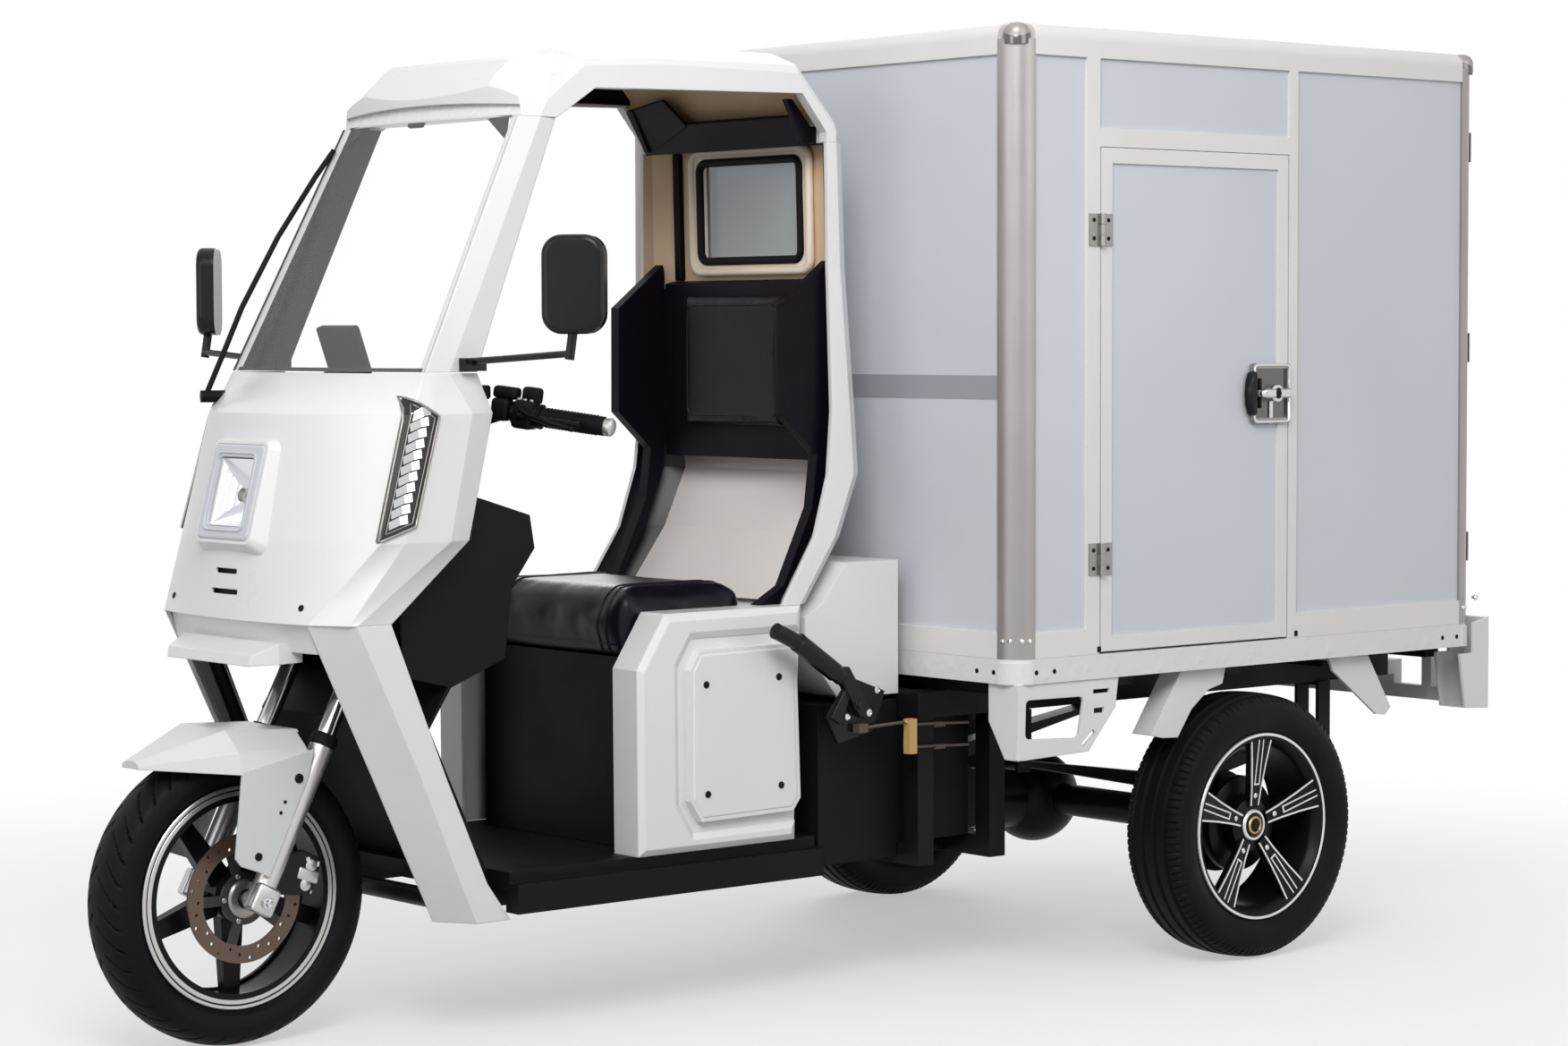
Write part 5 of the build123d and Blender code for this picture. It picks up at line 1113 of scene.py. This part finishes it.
def add_seat():
    """The bench: a padded top that rolls over the front, with a sewn seam on each side and piping below."""
    (x0, x1), (y0, y1), (z0, z1) = SEAT_BOX
    shape = bmesh.new()
    bmesh.ops.create_cube(shape, size=1)
    bmesh.ops.scale(shape, vec=(Vector((x1 - x0, y1 - y0, z1 - z0)) / 1000), verts=shape.verts)
    bmesh.ops.translate(shape, vec=at((x0 + x1) / 2, 0, (z0 + z1) / 2), verts=shape.verts)
    high = [e for e in shape.edges if min(v.co.z for v in e.verts) > (z1 - 5) / 1000]
    upright = [e for e in shape.edges if abs(e.verts[0].co.z - e.verts[1].co.z) > 0.05]
    bmesh.ops.bevel(shape, geom=high + upright, offset=0.024, segments=5, profile=0.5, affect="EDGES")
    mesh = bpy.data.meshes.new("seat_bench")
    shape.to_mesh(mesh)
    shape.free()
    seat = new_pad(mesh, 24, 6, 10, 640.5)
    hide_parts("seat_cushion")
    tree = tree_of(mesh)
    seams = []
    for side, _ in SIDES:
        for y in (side * SEAT_SEAM_Y, side * (SEAT_SEAM_Y - 24)):
            over = [at(x, y, 900) for x in np.linspace(1020, 1278, 30)]
            ahead = [at(1400, y, z) for z in np.linspace(752, 650, 16)]
            line = surface_line(tree, over, Vector((0, 0, -1)), 0.4)
            line += surface_line(tree, ahead, Vector((-1, 0, 0)), 0.4)
            seams.append(tube(line, 3.0, 8))
    ring = []
    for turn in (2 * math.pi * k / 96 for k in range(96)):
        away = Vector((math.cos(turn), math.sin(turn), 0))
        ring += surface_line(tree, [at(1150, 0, 664) + away * 0.6], -away, 0.4)
    seams.append(tube(ring, 2.2, 8, True))
    joined("seat_piping", seams, vinyl, smooth=60)


def add_backrest():
    """The pad on the cab's back panel, kept flat behind, with its piping."""
    (x0, x1), (y0, y1), (z0, z1) = BACK_BOX
    verts, faces = block((x1 - x0, y1 - y0, z1 - z0), 8)
    centre = at((x0 + x1) / 2, 0, (z0 + z1) / 2)
    mesh = bpy.data.meshes.new("backrest")
    mesh.from_pydata([tuple(v + centre) for v in verts], [], faces)
    pad = new_pad(mesh, 5, 5, 7, 1030)
    panel = at(830.4, 0, 0).x
    for v in mesh.vertices:
        v.co.x = max(v.co.x, panel)
    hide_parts("backrest_pad")
    starts = [at(1000, x, 1170 + y) for x, y in rounded(268, 214, 18)]
    line = surface_line(tree_of(mesh), starts, Vector((-1, 0, 0)), 0.8)
    joined("backrest_piping", [tube(line, 2.2, 8, True)], vinyl, smooth=60)


# Box


# Faces of the box, and limits of its stripe, door sheets and latch, each (low, high)
FRONT_FACE, FACE_Y, BOX_REAR = 656, 580, -647
POSTS_FRONT, POST_HALF_Y = 662, 554
STRIPE_Y, STRIPE_Z = 529, (1100, 1144)
DOOR_X, DOOR_Z = (-43, 413), (655, 1538)
REAR_DOOR_Y, REAR_DOOR_Z = (32, 498), (679, 1700)
LATCH_X, LATCH_Z = (-70, 35), (1046, 1162)
HINGE_X, HINGE_Z = 445, (800, 1414)


def add_front_stripe():
    film = [(sy * STRIPE_Y, z) for sy, z in zip((-1, 1, 1, -1), sorted(STRIPE_Z * 2))]
    joined("front_stripe", [(prism(film, 0.1, 0.7), stand(at(FRONT_FACE, 0, 0), (1, 0, 0)))], stripe_film)


def sheet_on(x, y, z, normal, wide, high):
    return prism(rounded(wide, high, 2, 2), 0.1, 0.9, 0.3), stand(at(x, y, z), normal)


def add_door_sheets():
    """The grey sheets in the doors' frames, inside and outside."""
    size = DOOR_X[1] - DOOR_X[0], DOOR_Z[1] - DOOR_Z[0]
    x, z = sum(DOOR_X) / 2, sum(DOOR_Z) / 2
    parts = [sheet_on(x, FACE_Y - 5, z, (0, 1, 0), *size), sheet_on(x, FACE_Y - 23, z, (0, -1, 0), *size)]
    joined("side_door_sheets", parts, panel_sheet, "side_door")
    size = REAR_DOOR_Y[1] - REAR_DOOR_Y[0], REAR_DOOR_Z[1] - REAR_DOOR_Z[0]
    z = sum(REAR_DOOR_Z) / 2
    for side, name in SIDES:
        y = side * sum(REAR_DOOR_Y) / 2
        parts = [sheet_on(BOX_REAR + 5, y, z, (-1, 0, 0), *size)]
        parts.append(sheet_on(BOX_REAR + 23, y, z, (1, 0, 0), *size))
        joined(f"rear_door_{name}_sheets", parts, panel_sheet, f"rear_door_{name}")


def add_rivets():
    """Rivets at the posts' feet, and painted shade: dark discs for the drain holes in the tray's rim and dark
    blocks for the notches under the jambs.
    """
    rivets, holes = [], []
    for way, end in ((1, POSTS_FRONT), (-1, BOX_REAR)):
        for side, _ in SIDES:
            for along in (22, 36):
                start = at(end - way * along, side * 700, 656)
                rivets += seated(lathe(RIVET, 20), "corner_posts", start, (0, -side, 0))
                start = at(end + way * 100, side * (FACE_Y - along), 656)
                rivets += seated(lathe(RIVET, 20), "corner_posts", start, (-way, 0, 0))
    # Each drain hole is a flat dark disc, painted shade where the hole is
    hole = lathe([(0, 0.35), (3.4, 0.35), (4.6, 0.3), (4.8, 0)], 18)
    for side, _ in SIDES:
        for x in (609, 563, -590, -545):
            holes += seated(hole, "cargo_tray", at(x, side * 700, 597), (0, -side, 0))
        for y in (476, 521):
            holes += seated(hole, "cargo_tray", at(900, side * y, 597), (-1, 0, 0))
    # Each notch under a jamb is a small dark block, painted shade where the notch is
    for x in (447, -99):
        holes.append((block((9, 11, 5), 1.5), stand(at(x, FACE_Y - 0.5, 631), (0, 1, 0))))
    joined("post_rivets", rivets, chrome)
    joined("tray_hole_shades", holes, trim_plastic)
    knob = lathe([(0, 13), (4, 12.5), (6, 10), (6, 7), (3, 5), (3, 0)], 20)
    knobs = [(knob, stand(at(BOX_REAR + 8, side * FACE_Y, 676), (0, side, 0))) for side, _ in SIDES]
    joined("door_catches", knobs, chrome)


def add_post_caps():
    dome = lathe([(25, -9), (25.6, -2), (25.6, 4), (24.5, 12), (21, 20.5), (14, 27), (7, 30), (0, 30.6)], 40)
    parts = []
    for x in (POSTS_FRONT - 26, BOX_REAR + 26):
        parts += [(dome, stand(at(x, side * POST_HALF_Y, 1757.2), (0, 0, 1))) for side, _ in SIDES]
    joined("post_caps", parts, dark_chrome, smooth=60)


def add_brake_bolts():
    parts = []
    for x, z in ((844, 524), (809, 563), (882, 518)):
        parts += seated(lathe(SCREW, 20, 1.1), "parking_brake", at(x, 600, z), (0, -1, 0))
    joined("brake_bolts", parts, chrome)


def add_door_hardware():
    """The latch's pan, its turning T handle and lock, and the screws of latch and hinges."""
    wide, high = LATCH_X[1] - LATCH_X[0], LATCH_Z[1] - LATCH_Z[0]
    face = stand(at(sum(LATCH_X) / 2, FACE_Y, sum(LATCH_Z) / 2), (0, 1, 0))
    rim = [face @ (Vector((x, y, 8.4)) / 1000) for x, y in rounded(wide - 6, high - 6, 9)]
    bright = [
        tube(rim, 3.0, 10, True),
        (lathe([(13, 3), (17, 4), (17.5, 22), (16, 25), (11, 26), (10.5, 20)], 40), face),
        (block((78, 16, 9), 4), shifted(face, 0, 0, 22.5)),
        (block((16, 15, 18), 5), shifted(face, 36, 0, 18)),
        (block((16, 15, 18), 5), shifted(face, -36, 0, 18)),
        (block((10, 66, 4), 1.8), shifted(face, 0, -26, 6)),
    ]
    joined("latch_bright", bright, chrome, "side_door")
    joined("latch_pan", [(prism(rounded(wide - 18, high - 22, 5), 3.1, 3.8), face)], dark_chrome, "side_door")
    bulge = ((-4, 44), (8, 40), (15, 22), (17, 0), (15, -22), (8, -40), (-4, -44))
    ear = [(-wide / 2 - out, y) for out, y in bulge]
    joined("latch_ear", [(prism(ear, 0.5, 17, 7), face)], gloss_black, "side_door")
    lock = lathe([(0, 27), (8, 27), (10, 26), (10.4, 20)], 28)
    dark = [(lock, face), (block((7, 58, 5), 2), shifted(face, -30, 0, 5))]
    joined("latch_lock", dark, black_steel, "side_door")
    corners = [(sx * (wide / 2 - 5), sz * (high / 2 - 6)) for sx in (1, -1) for sz in (1, -1)]
    fixed = []
    swinging = [(lathe(RIVET, 14, 0.5), shifted(face, x, y, 9)) for x, y in corners]
    for hinge_z in HINGE_Z:
        for rise in (-17, 17):
            for aside, group in ((19, fixed), (-19, swinging)):
                where = at(HINGE_X + aside, FACE_Y + 2.5, hinge_z + rise)
                group.append((lathe(SCREW, 18, 0.62), stand(where, (0, 1, 0))))
    joined("hinge_screws_fixed", fixed, black_steel)
    joined("hinge_screws_door", swinging, black_steel, "side_door")


# Setting


LAMPS = (
    # name, place, size, power, target, spread in degrees
    ("key", (3.0, 3.2, 3.8), 2.4, 66, (0.3, 0, 1.6), 110),
    ("front_fill", (5.0, 1.0, 2.0), 2.5, 35, (0.6, 0, 1.0), 180),
    ("side_fill", (-1.5, 4.5, 2.6), 3.0, 45, (-0.5, 0, 1.0), 180),
    ("top", (0.2, 0.2, 4.8), 4.0, 18, (0, 0, 1.0), 180),
    ("back_fill", (-3.0, -4.0, 3.0), 3.0, 60, (0, 0, 0.9), 180),
)


def seen_directly(graph):
    """One for what the camera, a mirror or glass sees, and zero for the light that falls on things."""
    path = graph.add("LightPath", {}).outputs
    direct = graph.math("MAXIMUM", path["Is Camera Ray"], path["Is Transmission Ray"])
    return graph.math("MAXIMUM", direct, path["Is Glossy Ray"])


def add_floor():
    """A pale floor that keeps the shadow near the vehicle and goes over to plain white further out."""
    bpy.ops.mesh.primitive_plane_add(size=80, location=(0, 0, -0.0005))
    floor = bpy.context.object
    floor.name = "floor"
    mat, graph, shader = new_material("floor", {"Roughness": 0.7})
    seen = seen_directly(graph)
    grey = {"A": (0.3, 0.3, 0.3, 1), "B": (0.9, 0.9, 0.9, 1)}
    shade = graph.add("Mix", {"Factor": seen, **grey}, data_type="RGBA")
    graph.feed(shader, {"Base Color": shade.outputs["Result"]})
    length = graph.add("VectorMath", {0: graph.where()}, operation="LENGTH").outputs["Value"]
    reach = {"From Min": 1.2, "From Max": 3.6, "To Min": 0.45}
    span = graph.add("MapRange", {"Value": length, **reach}, interpolation_type="SMOOTHSTEP")
    share = graph.math("MULTIPLY", span.outputs["Result"], seen)
    glow = graph.add("Emission", {"Color": (1, 1, 1, 1), "Strength": 1.0})
    mix = graph.add("MixShader", {"Fac": share, 1: shader.outputs["BSDF"], 2: glow.outputs["Emission"]})
    graph.feed(graph.nodes["Material Output"], {"Surface": mix.outputs["Shader"]})
    floor.data.materials.append(mat)


def add_surround():
    """Plain white where it is seen, and a soft light for everything else."""
    world = bpy.data.worlds.new("surround")
    bpy.context.scene.world = world
    graph = Graph(world)
    light = graph.nodes["Background"]
    graph.feed(light, {"Color": (0.97, 0.975, 1.0, 1), "Strength": 0.38})
    white = graph.add("Background", {"Color": (1, 1, 1, 1), "Strength": 1.0})
    both = {1: light.outputs["Background"], 2: white.outputs["Background"]}
    mix = graph.add("MixShader", {"Fac": seen_directly(graph), **both})
    graph.feed(graph.nodes["World Output"], {"Surface": mix.outputs["Shader"]})


def add_lamps():
    for name, place, size, power, target, spread in LAMPS:
        lamp = bpy.data.lights.new(name, "AREA")
        lamp.size = size
        lamp.energy = power
        lamp.spread = math.radians(spread)
        obj = bpy.data.objects.new(name, lamp)
        bpy.context.collection.objects.link(obj)
        obj.location = place
        obj.rotation_euler = (Vector(target) - Vector(place)).to_track_quat("-Z", "Y").to_euler()


def add_camera():
    yaw, pitch, roll = (math.radians(a) for a in (YAW, PITCH, ROLL))
    ahead = Vector((math.cos(yaw) * math.cos(pitch), math.sin(yaw) * math.cos(pitch), math.sin(pitch)))
    level = ahead.cross(Vector((0, 0, 1))).normalized()
    above = level.cross(ahead)
    right = level * math.cos(roll) + above * math.sin(roll)
    up = above * math.cos(roll) - level * math.sin(roll)
    data = bpy.data.cameras.new("camera")
    data.lens = LENS
    data.sensor_width = SENSOR
    data.sensor_fit = "HORIZONTAL"
    data.clip_end = 100
    camera = bpy.data.objects.new("camera", data)
    bpy.context.scene.collection.objects.link(camera)
    turn = Matrix((right, up, -ahead)).transposed()
    camera.matrix_world = Matrix.Translation(CAMERA_AT) @ turn.to_4x4()
    bpy.context.scene.camera = camera


add_camera()
add_tyres()
add_rear_rims()
add_front_wheel_details()
add_fork_details()
add_caliper_details()
add_fender_screws()
add_bar_details()
add_headlamp_detail()
add_side_lamp_details()
add_pods()
add_fascia_details()
add_screen_details()
add_back_details()
add_seat()
add_backrest()
add_front_stripe()
add_door_sheets()
add_rivets()
add_post_caps()
add_door_hardware()
add_brake_bolts()
add_floor()
add_surround()
add_lamps()
bpy.context.scene.view_settings.view_transform = "Standard"
